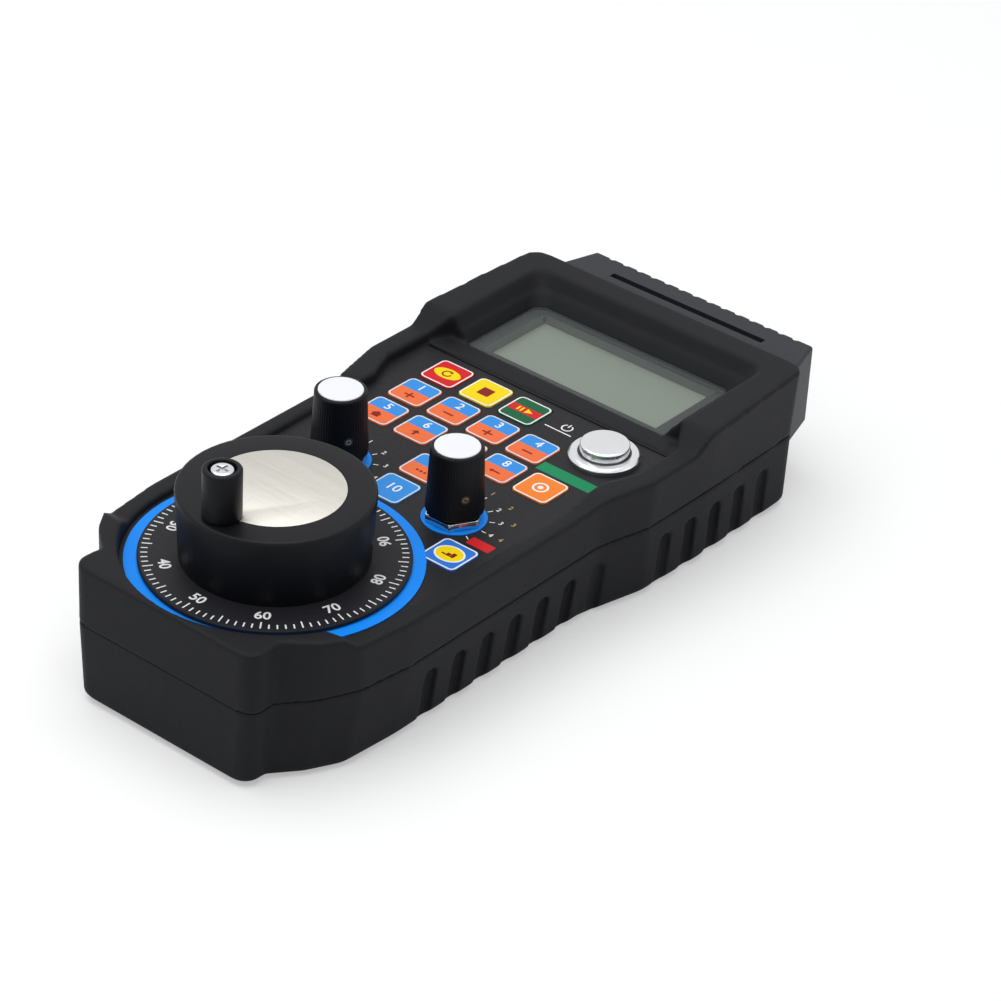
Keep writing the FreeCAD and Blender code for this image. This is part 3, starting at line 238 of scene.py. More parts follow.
MATERIALS = {
    "shell": finish_surface("black_shell", (0.0115, 0.0119, 0.0135), 0.55, grain=2600, depth=0.05,
                            specular=0.10),
    "end_block": finish_surface("end_block_plastic", (0.021, 0.0235, 0.0275), 0.50, grain=2200, depth=0.03,
                                specular=0.20),
    "film": finish_surface("printed_film", (0.0115, 0.0118, 0.0138), 0.46, grain=900, depth=0.008,
                           specular=0.14),
    "window": window_material(),
    "lcd": finish_surface("display_glass", (0.235, 0.275, 0.225), 0.35, grain=700, depth=0.0, mottle=25,
                          change=0.05, specular=0.2),
    "blue": finish_surface("blue_print", (0.005, 0.25, 0.90), 0.42, grain=900, depth=0.006, change=0.05,
                           specular=0.15),
    "dial": finish_surface("dial_black", (0.0140, 0.0140, 0.0175), 0.48, grain=1800, depth=0.02,
                           specular=0.14),
    "knob": finish_surface("knob_black", (0.0042, 0.0045, 0.0058), 0.42, grain=2000, depth=0.02,
                           specular=0.14),
    "steel": finish_surface("satin_steel", (0.56, 0.545, 0.50), 0.46, metal=1.0, grain=900, depth=0.003,
                            stretch=(0.05, 1.6, 1), change=0.03),
    "chrome": finish_surface("bright_nickel", (0.66, 0.67, 0.69), 0.16, metal=1.0, grain=500, depth=0.003,
                             change=0.03),
    "silver": finish_surface("satin_silver", (0.70, 0.71, 0.73), 0.24, metal=1.0, grain=900, depth=0.0006,
                             change=0.03, rough_change=0.02),
    "brass": finish_surface("brass", (0.50, 0.34, 0.12), 0.3, metal=1.0, grain=900, depth=0.004),
    "white_cap": finish_surface("white_cap", (0.80, 0.81, 0.84), 0.35, grain=1200, depth=0.008, change=0.02),
    "dark_plastic": finish_surface("moulded_black", (0.02, 0.02, 0.02), 0.5, grain=1500, depth=0.03),
    "board": finish_surface("board_green", (0.012, 0.11, 0.04), 0.4, grain=700, depth=0.02, mottle=400,
                            change=0.3),
    "cell": finish_surface("cell_wrapper", (0.03, 0.03, 0.035), 0.3, grain=600, depth=0.005),
    "key_red": print_surface("key_red", (0.60, 0.012, 0.016)),
    "key_yellow": print_surface("key_yellow", (0.86, 0.64, 0.004)),
    "key_green": print_surface("key_green", (0.004, 0.10, 0.038)),
    "key_orange": print_surface("key_orange", (0.86, 0.22, 0.025)),
    "key_blue": print_surface("key_blue", (0.035, 0.26, 0.70)),
    "key_step": print_surface("key_step_blue", (0.03, 0.17, 0.62)),
    "key_macro": print_surface("key_coral", (0.80, 0.155, 0.045)),
}
# Painted shade: near-black ink for the shadow in the groove where the film ends
GROOVE_SHADE = print_surface("painted_groove_shade", (0.001, 0.001, 0.001))
LINER = print_surface("display_liner", (0.10, 0.115, 0.10))
WHITE = print_surface("white_ink", (0.82, 0.82, 0.82))
PALE = print_surface("pale_ink", (0.60, 0.70, 0.76))
GOLD = print_surface("gold_ink", (0.45, 0.33, 0.09))
DARK_RED = print_surface("dark_red_ink", (0.22, 0.008, 0.006))
GREEN = print_surface("green_ink", (0.004, 0.22, 0.085))
CORAL = MATERIALS["key_macro"]
YELLOW = MATERIALS["key_yellow"]
RED = MATERIALS["key_red"]
SKY = MATERIALS["key_blue"]


# Making pieces


def new_piece(name, mesh, body, materials):
    """A piece that rides on a body, with its materials."""
    for material in materials:
        mesh.materials.append(material)
    piece = bpy.data.objects.new(name, mesh)
    bpy.context.scene.collection.objects.link(piece)
    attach(piece, body)
    return piece


def in_place_of(node, mesh):
    """A piece with a new shape that takes a node's place, body and material."""
    slot = SLOT_OF[node]
    piece = new_piece(node + "_dressed", mesh, BODY_OF[node], [MATERIALS[slot]])
    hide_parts(node)
    return piece


def shade(bm, angle=32):
    """Smooth shading, with sharp edges where faces turn by more than the angle."""
    for face in bm.faces:
        face.smooth = True
    for edge in bm.edges:
        if len(edge.link_faces) == 2:
            edge.smooth = edge.calc_face_angle(0) < math.radians(angle)


def to_mesh(bm, name):
    """Finish a bmesh as a mesh."""
    mesh = bpy.data.meshes.new(name)
    bm.normal_update()
    bm.to_mesh(mesh)
    bm.free()
    return mesh


def box_into(bm, low, high):
    """Add a box between two corners."""
    size = Vector(high) - Vector(low)
    place = Matrix.Translation((Vector(low) + Vector(high)) / 2) @ Matrix.Diagonal((*size, 1))
    bmesh.ops.create_cube(bm, size=1, matrix=place)


# Dressing the solids: rounded edges, or a soft moulding


def sharp(angle):
    """Test for outer edges whose faces turn by more than an angle."""
    def test(edge):
        return edge.is_convex and edge.calc_face_angle(0) > math.radians(angle)
    return test


def dress(node, *bevels, lift=0.0):
    """A copy of a node with rounded edges, each set as (test, width, steps), in its place.

    Its lower side is lifted by some millimetres where a lift is given.
    """
    bm = bmesh.new()
    bm.from_mesh(frame["nodes"][node].data)
    bmesh.ops.remove_doubles(bm, verts=bm.verts, dist=WELD)
    half_height = middle(node).z
    for vertex in bm.verts:
        if vertex.co.z < half_height:
            vertex.co.z += lift * MM
    bmesh.ops.dissolve_limit(bm, angle_limit=math.radians(FLAT), verts=bm.verts, edges=bm.edges)
    bm.normal_update()
    for test, width, steps in bevels:
        edges = [edge for edge in bm.edges if len(edge.link_faces) == 2 and test(edge)]
        bmesh.ops.bevel(bm, geom=edges, offset=width * MM, segments=steps, profile=0.5,
                        affect="EDGES", clamp_overlap=True)
        bm.normal_update()
    shade(bm)
    return in_place_of(node, to_mesh(bm, node + "_shape"))


def evaluated(mesh, kind, **settings):
    """A mesh as one modifier leaves it."""
    carrier = bpy.data.objects.new("carrier", mesh)
    bpy.context.scene.collection.objects.link(carrier)
    modifier = carrier.modifiers.new(kind, kind)
    for key, value in settings.items():
        setattr(modifier, key, value)
    graph = bpy.context.evaluated_depsgraph_get()
    result = bpy.data.meshes.new_from_object(carrier.evaluated_get(graph))
    bpy.data.objects.remove(carrier)
    return result


def within(spots, box, margin):
    """Which places lie in a box grown by a margin."""
    low, high = (numpy.array(corner) for corner in box)
    return ((spots > low - margin) & (spots < high + margin)).all(axis=1)


def relax(mesh, crisp):
    """Pull each corner towards the mean of its neighbours, the crisp ones in the first rounds only."""
    count = len(mesh.vertices)
    spots = numpy.empty(count * 3)
    mesh.vertices.foreach_get("co", spots)
    spots = spots.reshape(count, 3)
    ends = numpy.empty(len(mesh.edges) * 2, dtype=int)
    mesh.edges.foreach_get("vertices", ends)
    ends = ends.reshape(-1, 2)
    ends = numpy.concatenate((ends, ends[:, ::-1]))
    degree = numpy.bincount(ends[:, 0], minlength=count)
    free = ~crisp(spots)
    for k in range(ROUNDS):
        drawn = [numpy.bincount(ends[:, 0], spots[ends[:, 1], axis], count) / degree for axis in range(3)]
        step = PULL * (numpy.stack(drawn, axis=1) - spots)
        if k >= LOOSE_ROUNDS:
            step *= free[:, None]
        spots += step
    mesh.vertices.foreach_set("co", spots.ravel())
    mesh.update()


def soften(node, crisp, edge, edge_to):
    """A copy of a node as if moulded in soft rubber: remeshed, smoothed except where crisp, thinned.

    Its edge near one height is then drawn straight at another.
    """
    mesh = evaluated(frame["nodes"][node].data.copy(), "REMESH", mode="VOXEL", voxel_size=VOXEL)
    relax(mesh, crisp)
    mesh = evaluated(mesh, "DECIMATE", ratio=FACES_KEPT)
    bm = bmesh.new()
    bm.from_mesh(mesh)
    for vertex in bm.verts:
        if abs(vertex.co.z - edge) < EDGE_REACH:
            vertex.co.z = edge_to
    shade(bm, 50)
    mesh = to_mesh(bm, node + "_shape")
    mesh.materials.clear()
    return in_place_of(node, mesh)


# Turned shapes


def lathe(node, profile, segments=96, wave=None, loop=False):
    """A turned shape from (radius, height) in millimetres about a node's own centre.

    A wave makes upright ribs between two heights, and a loop closes the profile on itself.
    """
    centre = middle(node)
    bm = bmesh.new()
    rings = []
    for radius, height in profile:
        ring = []
        for i in range(segments):
            turn = 2 * math.pi * i / segments
            reach = radius
            if wave and wave["low"] <= height <= wave["high"]:
                reach -= wave["depth"] * (0.5 - 0.5 * math.cos(turn * wave["count"]))
            ring.append(bm.verts.new((centre.x + reach * MM * math.cos(turn),
                                      centre.y + reach * MM * math.sin(turn), height * MM)))
        rings.append(ring)
    if loop:
        rings.append(rings[0])
    for inner, outer in zip(rings, rings[1:]):
        for i in range(segments):
            j = (i + 1) % segments
            bm.faces.new((inner[i], inner[j], outer[j], outer[i]))
    if not loop:
        bm.faces.new(rings[0])
        bm.faces.new(rings[-1])
    bmesh.ops.remove_doubles(bm, verts=bm.verts, dist=WELD)
    bmesh.ops.recalc_face_normals(bm, faces=bm.faces)
    return bm


def rounded(profile, radius, steps=4):
    """A profile of (radius, height, soft) whose soft corners are rounded."""
    points = []
    for i, (r, z, soft) in enumerate(profile):
        if not soft:
            points.append((r, z))
            continue
        here = Vector((r, z))
        before = (Vector(profile[i - 1][:2]) - here).normalized() * radius
        after = (Vector(profile[i + 1][:2]) - here).normalized() * radius
        for k in range(steps + 1):
            t = k / steps
            points.append(tuple(here + before * (1 - t) ** 2 + after * t ** 2))
    return points


# Outlines of prints, in millimetres


def rounded_box(half_x, half_y, radius, steps=5):
    """A rounded rectangle about the origin."""
    points = []
    for quarter in range(4):
        centre_x = (half_x - radius) * (1 if quarter in (0, 3) else -1)
        centre_y = (half_y - radius) * (1 if quarter in (0, 1) else -1)
        for k in range(steps + 1):
            turn = math.pi / 2 * (quarter + k / steps)
            points.append((centre_x + radius * math.cos(turn), centre_y + radius * math.sin(turn)))
    return points


def ellipse(half_x, half_y, steps=36):
    """An ellipse about the origin."""
    turns = [2 * math.pi * k / steps for k in range(steps)]
    return [(half_x * math.cos(turn), half_y * math.sin(turn)) for turn in turns]


def bar(x_low, y_low, x_high, y_high):
    """A rectangle between two corners."""
    return [(x_low, y_low), (x_high, y_low), (x_high, y_high), (x_low, y_high)]


def clipped(points, y_low, y_high):
    """The part of a convex outline between two heights."""
    for sign, limit in ((1, y_low), (-1, -y_high)):
        kept = []
        for i, (x, y) in enumerate(points):
            before_x, before_y = points[i - 1]
            inside, was = sign * y >= limit, sign * before_y >= limit
            if inside != was:
                t = (sign * limit - before_y) / (y - before_y)
                kept.append((before_x + (x - before_x) * t, sign * limit))
            if inside:
                kept.append((x, y))
        points = kept
    return points


# Prints: thin plates of ink in layers on a surface


class Print:
    """Collects inked shapes, in millimetres about a centre, into one piece that faces up or a given way."""

    def __init__(self, name, body, slot, centre, facing=None):
        self.name, self.body, self.slot = name, body, slot
        self.place = Matrix.Translation(centre)
        if facing is not None:
            self.place = self.place @ facing.to_track_quat("Z", "Y").to_matrix().to_4x4()
        self.bm = bmesh.new()
        self.inks = []

    def ink(self, material):
        """The number of an ink in this print, which is new or known."""
        if material not in self.inks:
            self.inks.append(material)
        return self.inks.index(material)

    def plate(self, outline, material, layer=0, move=(0, 0), turn=0.0):
        """A filled outline."""
        index = self.ink(material)
        spin = Matrix.Rotation(turn, 2)
        spots = [spin @ Vector(point) + Vector(move) for point in outline]
        low, high = INK * (layer + INK_GAP), INK * (layer + 1)
        under = [self.bm.verts.new(self.place @ Vector((x * MM, y * MM, low))) for x, y in spots]
        over = [self.bm.verts.new(self.place @ Vector((x * MM, y * MM, high))) for x, y in spots]
        faces = [self.bm.faces.new(over), self.bm.faces.new(list(reversed(under)))]
        for i in range(len(spots)):
            j = (i + 1) % len(spots)
            faces.append(self.bm.faces.new((under[i], under[j], over[j], over[i])))
        for face in faces:
            face.material_index = index

    def band(self, radius, width, material, layer=0, span=(0.0, 360.0), steps=72):
        """A ring or part of one, its span in degrees."""
        first, last = math.radians(span[0]), math.radians(span[1])
        for k in range(steps):
            a = first + (last - first) * k / steps
            b = first + (last - first) * (k + 1) / steps
            spots = [((radius + side * width / 2) * math.cos(t), (radius + side * width / 2) * math.sin(t))
                     for side, t in ((-1, a), (1, a), (1, b), (-1, b))]
            self.plate(spots, material, layer)

    def word(self, text, size, material, layer=0, move=(0, 0), turn=0.0, bold=0.04):
        """Plain numbers, centred on a spot."""
        index = self.ink(material)
        curve = bpy.data.curves.new("glyphs", "FONT")
        curve.body = text
        curve.size = size * MM
        curve.align_x, curve.align_y = "CENTER", "CENTER"
        curve.extrude = INK * (1 - INK_GAP) / 2
        curve.offset = bold * MM
        curve.resolution_u = 4
        carrier = bpy.data.objects.new("glyphs", curve)
        bpy.context.scene.collection.objects.link(carrier)
        graph = bpy.context.evaluated_depsgraph_get()
        mesh = bpy.data.meshes.new_from_object(carrier.evaluated_get(graph))
        bpy.data.objects.remove(carrier)
        height = INK * (layer + (1 + INK_GAP) / 2)
        shift = Matrix.Translation((move[0] * MM, move[1] * MM, height))
        mesh.transform(self.place @ shift @ Matrix.Rotation(turn, 4, "Z"))
        known = len(self.bm.faces)
        self.bm.from_mesh(mesh)
        self.bm.faces.ensure_lookup_table()
        for face in self.bm.faces[known:]:
            face.material_index = index
        bpy.data.meshes.remove(mesh)

    def finish(self):
        """Turn the collected shapes into a piece."""
        bmesh.ops.recalc_face_normals(self.bm, faces=self.bm.faces)
        return new_piece(self.name, to_mesh(self.bm, self.name), self.body, self.inks)


# Case


def case():
    """Both halves of the case as soft mouldings, and the block and the door on them."""
    seam = low_corner("front_housing").z
    seam_band, floor_band = 2 * MM, 3 * MM
    film_margin, door_margin = 0.5 * MM, 1 * MM
    gap_below, gap_drawn = 0.4 * MM, 0.25 * MM
    tooth_height, tooth_reach = 5 * MM, 0.5 * MM
    far_end = high_corner("end_cap_upper").y

    def front_crisp(spots):
        film = within(spots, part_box("panel_overlay"), film_margin)
        window = within(spots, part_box("lcd_window"), film_margin)
        return film | window | (spots[:, 2] < seam + seam_band)

    def rear_crisp(spots):
        return within(spots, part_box("battery_door"), door_margin) | (spots[:, 2] > floor_band)

    def tooth(edge):
        start, end = (vertex.co for vertex in edge.verts)
        upright = abs(start.z - end.z) > tooth_height
        return upright and (start.y + end.y) / 2 > far_end - tooth_reach and sharp(20)(edge)

    soften("front_housing", front_crisp, seam, seam)
    soften("rear_housing", rear_crisp, seam - gap_below, seam - gap_drawn)
    for node in ("end_cap_lower", "end_cap_upper"):
        dress(node, (tooth, 0.9, 4))
    dress("battery_door", (sharp(60), 0.15, 2))


def display():
    """Dark border on the back of the window, and the pale walls round the glass below it."""
    window_lift, border_height = 0.4, 0.34
    edge_free, side_border, end_border = 0.1, 4.0, 2.1
    glass_gap, wall = 0.02 * MM, 0.2 * MM
    dress("lcd_window", lift=window_lift)
    low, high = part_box("lcd_window")
    centre = (low + high) / 2
    centre.z = low.z + border_height * MM
    half_x = (high.x - low.x) / 2 / MM - edge_free
    half_y = (high.y - low.y) / 2 / MM - edge_free
    view_x, view_y = half_x - side_border, half_y - end_border
    border = Print("window_border", "root", "window", centre)
    for x_low, x_high in ((-half_x, -view_x), (view_x, half_x)):
        border.plate(bar(x_low, -half_y, x_high, half_y), MATERIALS["film"])
    for y_low, y_high in ((-half_y, -view_y), (view_y, half_y)):
        border.plate(bar(-view_x, y_low, view_x, y_high), MATERIALS["film"])
    border.finish()
    bm = bmesh.new()
    floor = high_corner("lcd_module").z + glass_gap
    reach_x, reach_y = view_x * MM, view_y * MM
    for side in (-1, 1):
        x, y = centre.x + side * reach_x, centre.y + side * reach_y
        box_into(bm, (x - wall / 2, centre.y - reach_y, floor), (x + wall / 2, centre.y + reach_y, centre.z))
        box_into(bm, (centre.x - reach_x, y - wall / 2, floor), (centre.x + reach_x, y + wall / 2, centre.z))
    new_piece("display_walls", to_mesh(bm, "display_walls"), "root", [LINER])


# Dial and handwheel


def dial():
    """Graduated disc: a hundred divisions with numbers at the tens."""
    divisions, zero_turn = 100, 90.6
    marks_radius, half_mark = 33.84, 0.19
    short_mark, long_mark = 1.75, 2.7
    numbers_radius, number_size = 28.4, 4.3
    dress("dial_ring")
    dress("dial_disc")
    marks = Print("dial_marks", "handwheel", "dial", top_middle("dial_disc"))
    for i in range(divisions):
        turn = math.radians(zero_turn + 360 * i / divisions)
        inner = marks_radius - (long_mark if i % 5 == 0 else short_mark)
        marks.plate(bar(inner, -half_mark, marks_radius, half_mark), WHITE, turn=turn)
    for i in range(0, divisions, 10):
        turn = math.radians(zero_turn + 360 * i / divisions)
        spot = (numbers_radius * math.cos(turn), numbers_radius * math.sin(turn))
        marks.word(str(i), number_size, WHITE, move=spot, turn=turn + math.pi / 2, bold=0.09)
    marks.finish()


def handwheel():
    """The large knob with faint facets, its plate, and the turning grip."""
    foot, top = foot_of("handwheel_knob"), top_of("handwheel_knob")
    reach = half_width("handwheel_knob")
    seat = foot_of("knob_plate")
    bore = half_width("knob_plate") + SEAT_GAP
    facets, taper, top_round, chamfer = 60, 1.1, 1.1, 0.25
    facet_height = 10 * MM
    profile = rounded([
        (0.0, foot, False),
        (reach - taper, foot, False),
        (reach, top, True),
        (bore + chamfer, top, False),
        (bore, top - chamfer, False),
        (bore, seat, False),
        (0.0, seat, False),
    ], top_round)
    bm = lathe("handwheel_knob", profile, facets)
    shade(bm)
    for edge in bm.edges:
        if abs(edge.verts[0].co.z - edge.verts[1].co.z) > facet_height:
            edge.smooth = False
    in_place_of("handwheel_knob", to_mesh(bm, "knob"))
    dress("knob_plate", (sharp(50), 0.08, 2))
    dress("crank_grip", (sharp(50), 0.12, 2))
    dress("grip_screw", (sharp(50), 0.06, 2))


# Selectors and the power button


def selectors():
    """Ribbed knobs with white caps, on nuts and blue rings."""
    for name in ("axis", "feed"):
        ribbed_knob(name)
        dress(name + "_knob_cap", (sharp(60), 0.1, 2))
        dress(name + "_set_screw", (sharp(60), 0.1, 2))
        screw_mark(name)
    dress("selector_nuts", (sharp(50), 0.25, 2))
    dress("selector_rings")


def ribbed_knob(name):
    """A slender knob with fine upright ribs, bored for its shaft below and its cap above."""
    knob, cap, shaft = name + "_knob", name + "_knob_cap", name + "_shaft"
    foot, top = foot_of(knob), top_of(knob)
    foot_radius = half_width(knob)
    top_radius = foot_radius - SELECTOR_TAPER
    cap_bore, cap_seat = half_width(cap) + SEAT_GAP, foot_of(cap)
    shaft_bore, shaft_seat = half_width(shaft) + SEAT_GAP, top_of(shaft) + 0.15
    ribs, rib_depth, segments, lean_steps = 60, 0.08, 360, 8
    lean_foot, lean_height = foot + 0.9, top - foot - 2.0
    profile = [
        (0.0, shaft_seat),
        (shaft_bore, shaft_seat),
        (shaft_bore, foot),
        (foot_radius - 0.3, foot),
        (foot_radius, foot + 0.35),
    ]
    for k in range(lean_steps + 1):
        radius = foot_radius - (foot_radius - top_radius) * k / lean_steps
        profile.append((radius, lean_foot + lean_height * k / lean_steps))
    profile += [
        (top_radius, top - 0.6),
        (top_radius - 0.15, top - 0.2),
        (top_radius - 0.5, top),
        (cap_bore + 0.1, top),
        (cap_bore, top - 0.1),
        (cap_bore, cap_seat),
        (0.0, cap_seat),
    ]
    wave = {"count": ribs, "depth": rib_depth, "low": foot + 0.8, "high": top - 1.0}
    bm = lathe(shaft, profile, segments, wave)
    shade(bm, 40)
    in_place_of(knob, to_mesh(bm, name))


def screw_mark(name):
    """The dark bore of a knob's set screw, the brass of the screw in it, and painted shade in its socket."""
    knob, screw = name + "_knob", middle(name + "_set_screw")
    centre = middle(name + "_shaft")
    bore, brass, socket_shade = 1.25, 0.8, 0.3
    sunk = 0.02
    share = (screw.z / MM - foot_of(knob)) / (top_of(knob) - foot_of(knob))
    reach = half_width(knob) - SELECTOR_TAPER * share - sunk
    outward = Vector((screw.x - centre.x, screw.y - centre.y, 0)).normalized()
    spot = Vector((centre.x, centre.y, screw.z)) + outward * reach * MM
    mark = Print(name + "_screw_mark", BODY_OF[knob], SLOT_OF[name + "_set_screw"], spot, outward)
    mark.plate(ellipse(bore, bore), MATERIALS["dark_plastic"], 1)
    mark.plate(ellipse(brass, brass), MATERIALS["brass"], 2)
    # Painted shade: a dark square on the brass for the shadow in the screw's socket
    mark.plate(rounded_box(socket_shade, socket_shade, 0.1), MATERIALS["dark_plastic"], 3)
    mark.finish()


def power():
    """Bezel and button of satin metal, a dark ring of painted shade between them, and the spring below."""
    dress("power_bezel", (sharp(30), 0.12, 2))
    dress("power_cap", (sharp(60), 0.1, 2))
    cap, face = half_width("power_cap"), top_of("power_bezel")
    inner, crest, outer = cap + 0.05, cap + 0.3, cap + 0.55
    foot, shoulder, top = face - 0.3, face + 0.02, face + 0.15
    # Painted shade: a dark ring that fills the groove round the button and stands for its shadow
    bm = lathe("power_cap", [
        (inner, foot),
        (outer, foot),
        (outer, shoulder),
        (crest, top),
        (inner, shoulder),
    ], loop=True)
    shade(bm, 50)
    new_piece("power_gap_shade", to_mesh(bm, "power_gap_shade"), "root", [MATERIALS["dark_plastic"]])
    spring = dress("power_spring")
    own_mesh(spring)


# Keys

# Numbered keys and their signs
SIGN_OF = {
    "macro_1": "plus", "macro_2": "minus", "macro_3": "plus", "macro_4": "minus", "macro_5": "house",
    "macro_6": "up", "macro_7": "down", "macro_8": "back", "macro_9": "dots",
}

# Outlines of each sign about its own middle; "down" is "up" the other way round
ACROSS = bar(-1.7, -0.3, 1.7, 0.3)
ARROW = [[(-1.3, 0.1), (1.3, 0.1), (0, 1.4)], bar(-0.35, -1.3, 0.35, 0.1)]
SIGNS = {
    "plus": [ACROSS, bar(-0.3, 0.3, 0.3, 1.4), bar(-0.3, -1.4, 0.3, -0.3)],
    "minus": [ACROSS],
    "house": [[(-1.7, 0.1), (1.7, 0.1), (0, 1.5)], bar(-1.2, -1.2, 1.2, 0.1)],
    "up": ARROW,
    "down": ARROW,
    "back": [[(-1.8, 0), (-0.6, -0.8), (-0.6, 0.8)], bar(-0.6, -0.28, 1.8, 0.28)],
}


def key_prints():
    """Keys with printed faces: a pale rim and the field, number or sign in it."""
    key_bevel, rim_free, rim = 0.5, 0.15, 0.6
    for node in sorted(SLOT_OF):
        if not node.startswith("key_"):
            continue
        dress(node, (sharp(60), 0.12, 2))
        half = half_width(node) - key_bevel
        face = Print(node + "_print", BODY_OF[node], SLOT_OF[node], top_middle(node))
        outer = rounded_box(half - rim_free, half - rim_free, 1.6)
        inner = rounded_box(half - rim, half - rim, 1.2)
        face.plate(outer, PALE if "macro" in node else WHITE)
        name = node.removeprefix("key_")
        if name in SIGN_OF:
            numbered_face(face, inner, half, name)
        else:
            OWN_FACES[name](face, inner)
        face.finish()


def numbered_face(face, inner, half, name):
    """A field in two colours, with a number above and a sign below."""
    border, number_height, sign_height = 0.4, 2.7, -2.3
    face.plate(clipped(inner, -half, border), CORAL, 1)
    face.plate(clipped(inner, border, half), SKY, 1)
    face.word(name.split("_")[1], 4.2, WHITE, 2, move=(0, number_height))
    sign = SIGN_OF[name]
    turn = math.pi if sign == "down" else 0
    for outline in SIGNS.get(sign, ()):
        face.plate(outline, DARK_RED, 2, move=(0, sign_height), turn=turn)
    if sign == "dots":
        dot, pitch = 0.45, 1.3
        for k in (-1, 0, 1):
            face.plate(ellipse(dot, dot, 16), DARK_RED, 2, move=(pitch * k, sign_height))


def tenth_face(face, inner):
    """A blue field with its number."""
    face.plate(inner, SKY, 1)
    face.word("10", 4.6, WHITE, 2, move=(0, 0.3))


def reset_face(face, inner):
    """A red field, and a turning arrow on a yellow oval."""
    arrow_radius, arrow_width = 1.35, 0.5
    face.plate(inner, RED, 1)
    face.plate(ellipse(4.3, 2.5), YELLOW, 2)
    face.band(arrow_radius, arrow_width, DARK_RED, 3, (60, 360), 24)
    face.plate([(1.9, -0.1), (0.7, -0.1), (1.3, -1.0)], DARK_RED, 3, turn=math.radians(70))


def stop_face(face, inner):
    """A yellow field with a dark square."""
    face.plate(inner, YELLOW, 1)
    face.plate(rounded_box(1.9, 1.9, 0.2), DARK_RED, 2)


def start_face(face, inner):
    """A green field with a red stripe, two bars and a triangle."""
    face.plate(inner, MATERIALS["key_green"], 1)
    face.plate(clipped(inner, -1.6, 1.6), RED, 2)
    for x in (-2.5, -1.3):
        face.plate(bar(x, -1.0, x + 0.6, 1.0), YELLOW, 3)
    face.plate([(0.3, -1.2), (2.6, 0), (0.3, 1.2)], YELLOW, 3)


def function_face(face, inner):
    """An orange field with a ring and a dot."""
    face.plate(inner, MATERIALS["key_orange"], 1)
    face.band(2.0, 0.6, WHITE, 2)
    face.plate(ellipse(0.8, 0.8), WHITE, 2)


def oval_field(face, inner):
    """A blue field with a yellow oval rimmed in white."""
    face.plate(inner, MATERIALS["key_step"], 1)
    face.plate(ellipse(4.4, 3.6), WHITE, 2)
    face.plate(ellipse(3.9, 3.1), YELLOW, 3)


def step_face(face, inner):
    """Rising steps on the yellow oval."""
    pitch, width, rise, foot, height = 1.3, 1.2, 0.75, -1.1, 0.6
    oval_field(face, inner)
    for k in range(3):
        left = -1.9 + pitch * k
        face.plate(bar(left, foot, left + width, foot + height + rise * k), DARK_RED, 4)


def continuous_face(face, inner):
    """An arrow on the yellow oval."""
    oval_field(face, inner)
    face.plate(bar(-2.2, -0.25, 1.0, 0.25), DARK_RED, 4)
    face.plate([(0.9, -0.9), (2.3, 0), (0.9, 0.9)], DARK_RED, 4)


OWN_FACES = {
    "macro_10": tenth_face,
    "reset": reset_face,
    "stop": stop_face,
    "start": start_face,
    "function": function_face,
    "step": step_face,
    "continuous": continuous_face,
}


# Legends of the film


def selector_scale(film, name, marks, numbered, rows):
    """Marks round a selector, and rows of numbers, each as (distance, ink), at the first of them."""
    first_turn, pitch = 90, 30
    mark_near, mark_far, half_mark, number_size = 9.2, 10.7, 0.15, 2.2
    centre = middle(name + "_shaft") / MM
    for i in range(marks):
        turn = math.radians(first_turn - pitch * i)
        mark = bar(mark_near, -half_mark, mark_far, half_mark)
        film.plate(mark, WHITE, move=(centre.x, centre.y), turn=turn)
        for reach, ink in rows if i < numbered else ():
            spot = (centre.x + reach * math.cos(turn), centre.y + reach * math.sin(turn))
            film.word(str(i + 1), number_size, ink, move=spot, bold=0.03)


def legends():
    """Scales of the selectors, two labels without words, a line and the power sign."""
    green_label, red_label, power_place = (28.7, 13.0), (33.4, -27.6), (13.2, 32.4)
    top = high_corner("panel_overlay").z
    film = Print("panel_print", "root", "film", Vector((0, 0, top)))
    selector_scale(film, "axis", 7, 7, [(12.6, WHITE)])
    selector_scale(film, "feed", 5, 4, [(12.3, WHITE), (15.6, GOLD)])
    film.plate(rounded_box(9.0, 2.1, 0.2), GREEN, move=green_label)
    film.plate(rounded_box(3.7, 1.7, 0.2), RED, move=red_label)
    film.plate(bar(7.6, 29.5, 16.6, 29.9), WHITE)
    film.finish()
    sign = Print("power_sign", "root", "film", Vector((power_place[0] * MM, power_place[1] * MM, top)))
    sign.band(1.5, 0.4, WHITE, 0, (120, 420), 40)
    sign.plate(bar(-0.2, 0.4, 0.2, 2.0), WHITE)
    sign.finish()


def film_edge_shade():
    """Painted shade: a dark strip for the shadow in the groove where the film ends before the display."""
    near, far, side, height = 0.9 * MM, 0.2 * MM, 1.2 * MM, 0.25 * MM
    corner = high_corner("panel_overlay")
    half = corner.x - side
    bm = bmesh.new()
    box_into(bm, (-half, corner.y - near, corner.z), (half, corner.y - far, corner.z + height))
    new_piece("film_edge_shade", to_mesh(bm, "film_edge_shade"), "root", [GROOVE_SHADE])


# Solids that stay as they are


def plain_nodes():
    """Give the solids their materials."""
    for name, solid in frame["nodes"].items():
        solid.data.materials.clear()
        solid.data.materials.append(MATERIALS[SLOT_OF[name]])


# Studio


def blend_shaders(tree, factor, first, second, output):
    """Mix two shaders into an output."""
    mix = add(tree, "MixShader")
    tree.links.new(factor, mix.inputs["Fac"])
    tree.links.new(first.outputs[0], mix.inputs[1])
    tree.links.new(second.outputs[0], mix.inputs[2])
    tree.links.new(mix.outputs[0], tree.nodes[output].inputs["Surface"])


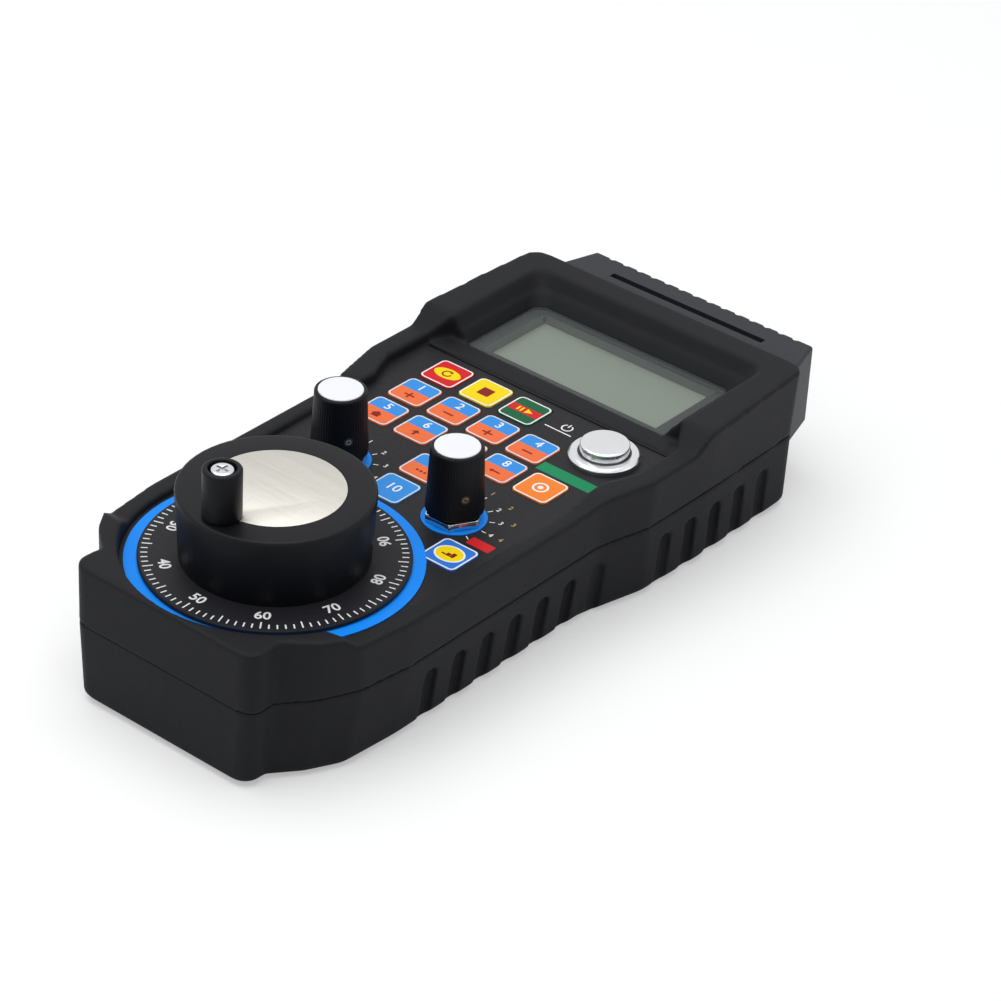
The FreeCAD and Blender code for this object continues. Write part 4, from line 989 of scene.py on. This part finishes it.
def pale_floor():
    """A floor that keeps the shadow, and that the camera sees a little brighter."""
    drop = 0.2 * MM
    bm = bmesh.new()
    bmesh.ops.create_grid(bm, x_segments=2, y_segments=2, size=4.0)
    floor = bpy.data.objects.new("floor", to_mesh(bm, "floor"))
    bpy.context.scene.collection.objects.link(floor)
    floor.location.z = -drop
    paper = finish_surface("floor_white", (0.95, 0.95, 0.95), 0.8, grain=40, depth=0.0, change=0.004,
                           mottle=2)
    tree = paper.node_tree
    glow = add(tree, "Emission", Color=(1, 1, 1, 1), Strength=1.0)
    path = add(tree, "LightPath")
    part = add(tree, "Math", operation="MULTIPLY")
    part.inputs[1].default_value = FLOOR_GLOW
    tree.links.new(path.outputs["Is Camera Ray"], part.inputs[0])
    blend_shaders(tree, part.outputs[0], tree.nodes["Principled BSDF"], glow, "Material Output")
    floor.data.materials.append(paper)


def surround():
    """A world that lights softly, and is white to the camera and in metal and glass."""
    world = bpy.data.worlds.new("surround")
    bpy.context.scene.world = world
    world.use_nodes = True
    tree = world.node_tree
    shown = tree.nodes["Background"]
    shown.inputs["Color"].default_value = (1, 1, 1, 1)
    shown.inputs["Strength"].default_value = 1.0
    lit = add(tree, "Background", Color=(0.95, 0.97, 1.0, 1), Strength=WORLD_LIGHT)
    path = add(tree, "LightPath")
    either = add(tree, "Math", operation="MAXIMUM")
    every = add(tree, "Math", operation="MAXIMUM")
    tree.links.new(path.outputs["Is Camera Ray"], either.inputs[0])
    tree.links.new(path.outputs["Is Glossy Ray"], either.inputs[1])
    tree.links.new(either.outputs[0], every.inputs[0])
    tree.links.new(path.outputs["Is Transmission Ray"], every.inputs[1])
    blend_shaders(tree, every.outputs[0], lit, shown, "World Output")


def lamps():
    """Soft square lamps that look at the origin."""
    for name, place, size, watts in LAMPS:
        data = bpy.data.lights.new(name, "AREA")
        data.size = size
        data.energy = watts
        lamp = bpy.data.objects.new(name, data)
        bpy.context.scene.collection.objects.link(lamp)
        lamp.location = place
        lamp.rotation_euler = (-Vector(place)).to_track_quat("-Z", "Y").to_euler()


def camera():
    """The photograph's viewpoint."""
    data = bpy.data.cameras.new("camera")
    data.lens = CAMERA_LENS
    data.sensor_width = CAMERA_SENSOR
    data.clip_start = 0.05
    data.clip_end = 50.0
    eye = bpy.data.objects.new("camera", data)
    bpy.context.scene.collection.objects.link(eye)
    aim = (CAMERA_AIM - CAMERA_PLACE).to_track_quat("-Z", "Y").to_matrix().to_4x4()
    roll = Matrix.Rotation(math.radians(CAMERA_ROLL), 4, "Z")
    eye.matrix_world = Matrix.Translation(CAMERA_PLACE) @ aim @ roll
    bpy.context.scene.camera = eye


bpy.context.scene.view_settings.view_transform = "Standard"
plain_nodes()
case()
display()
dial()
handwheel()
selectors()
power()
key_prints()
legends()
film_edge_shade()
pale_floor()
surround()
lamps()
camera()
bpy.context.view_layer.update()
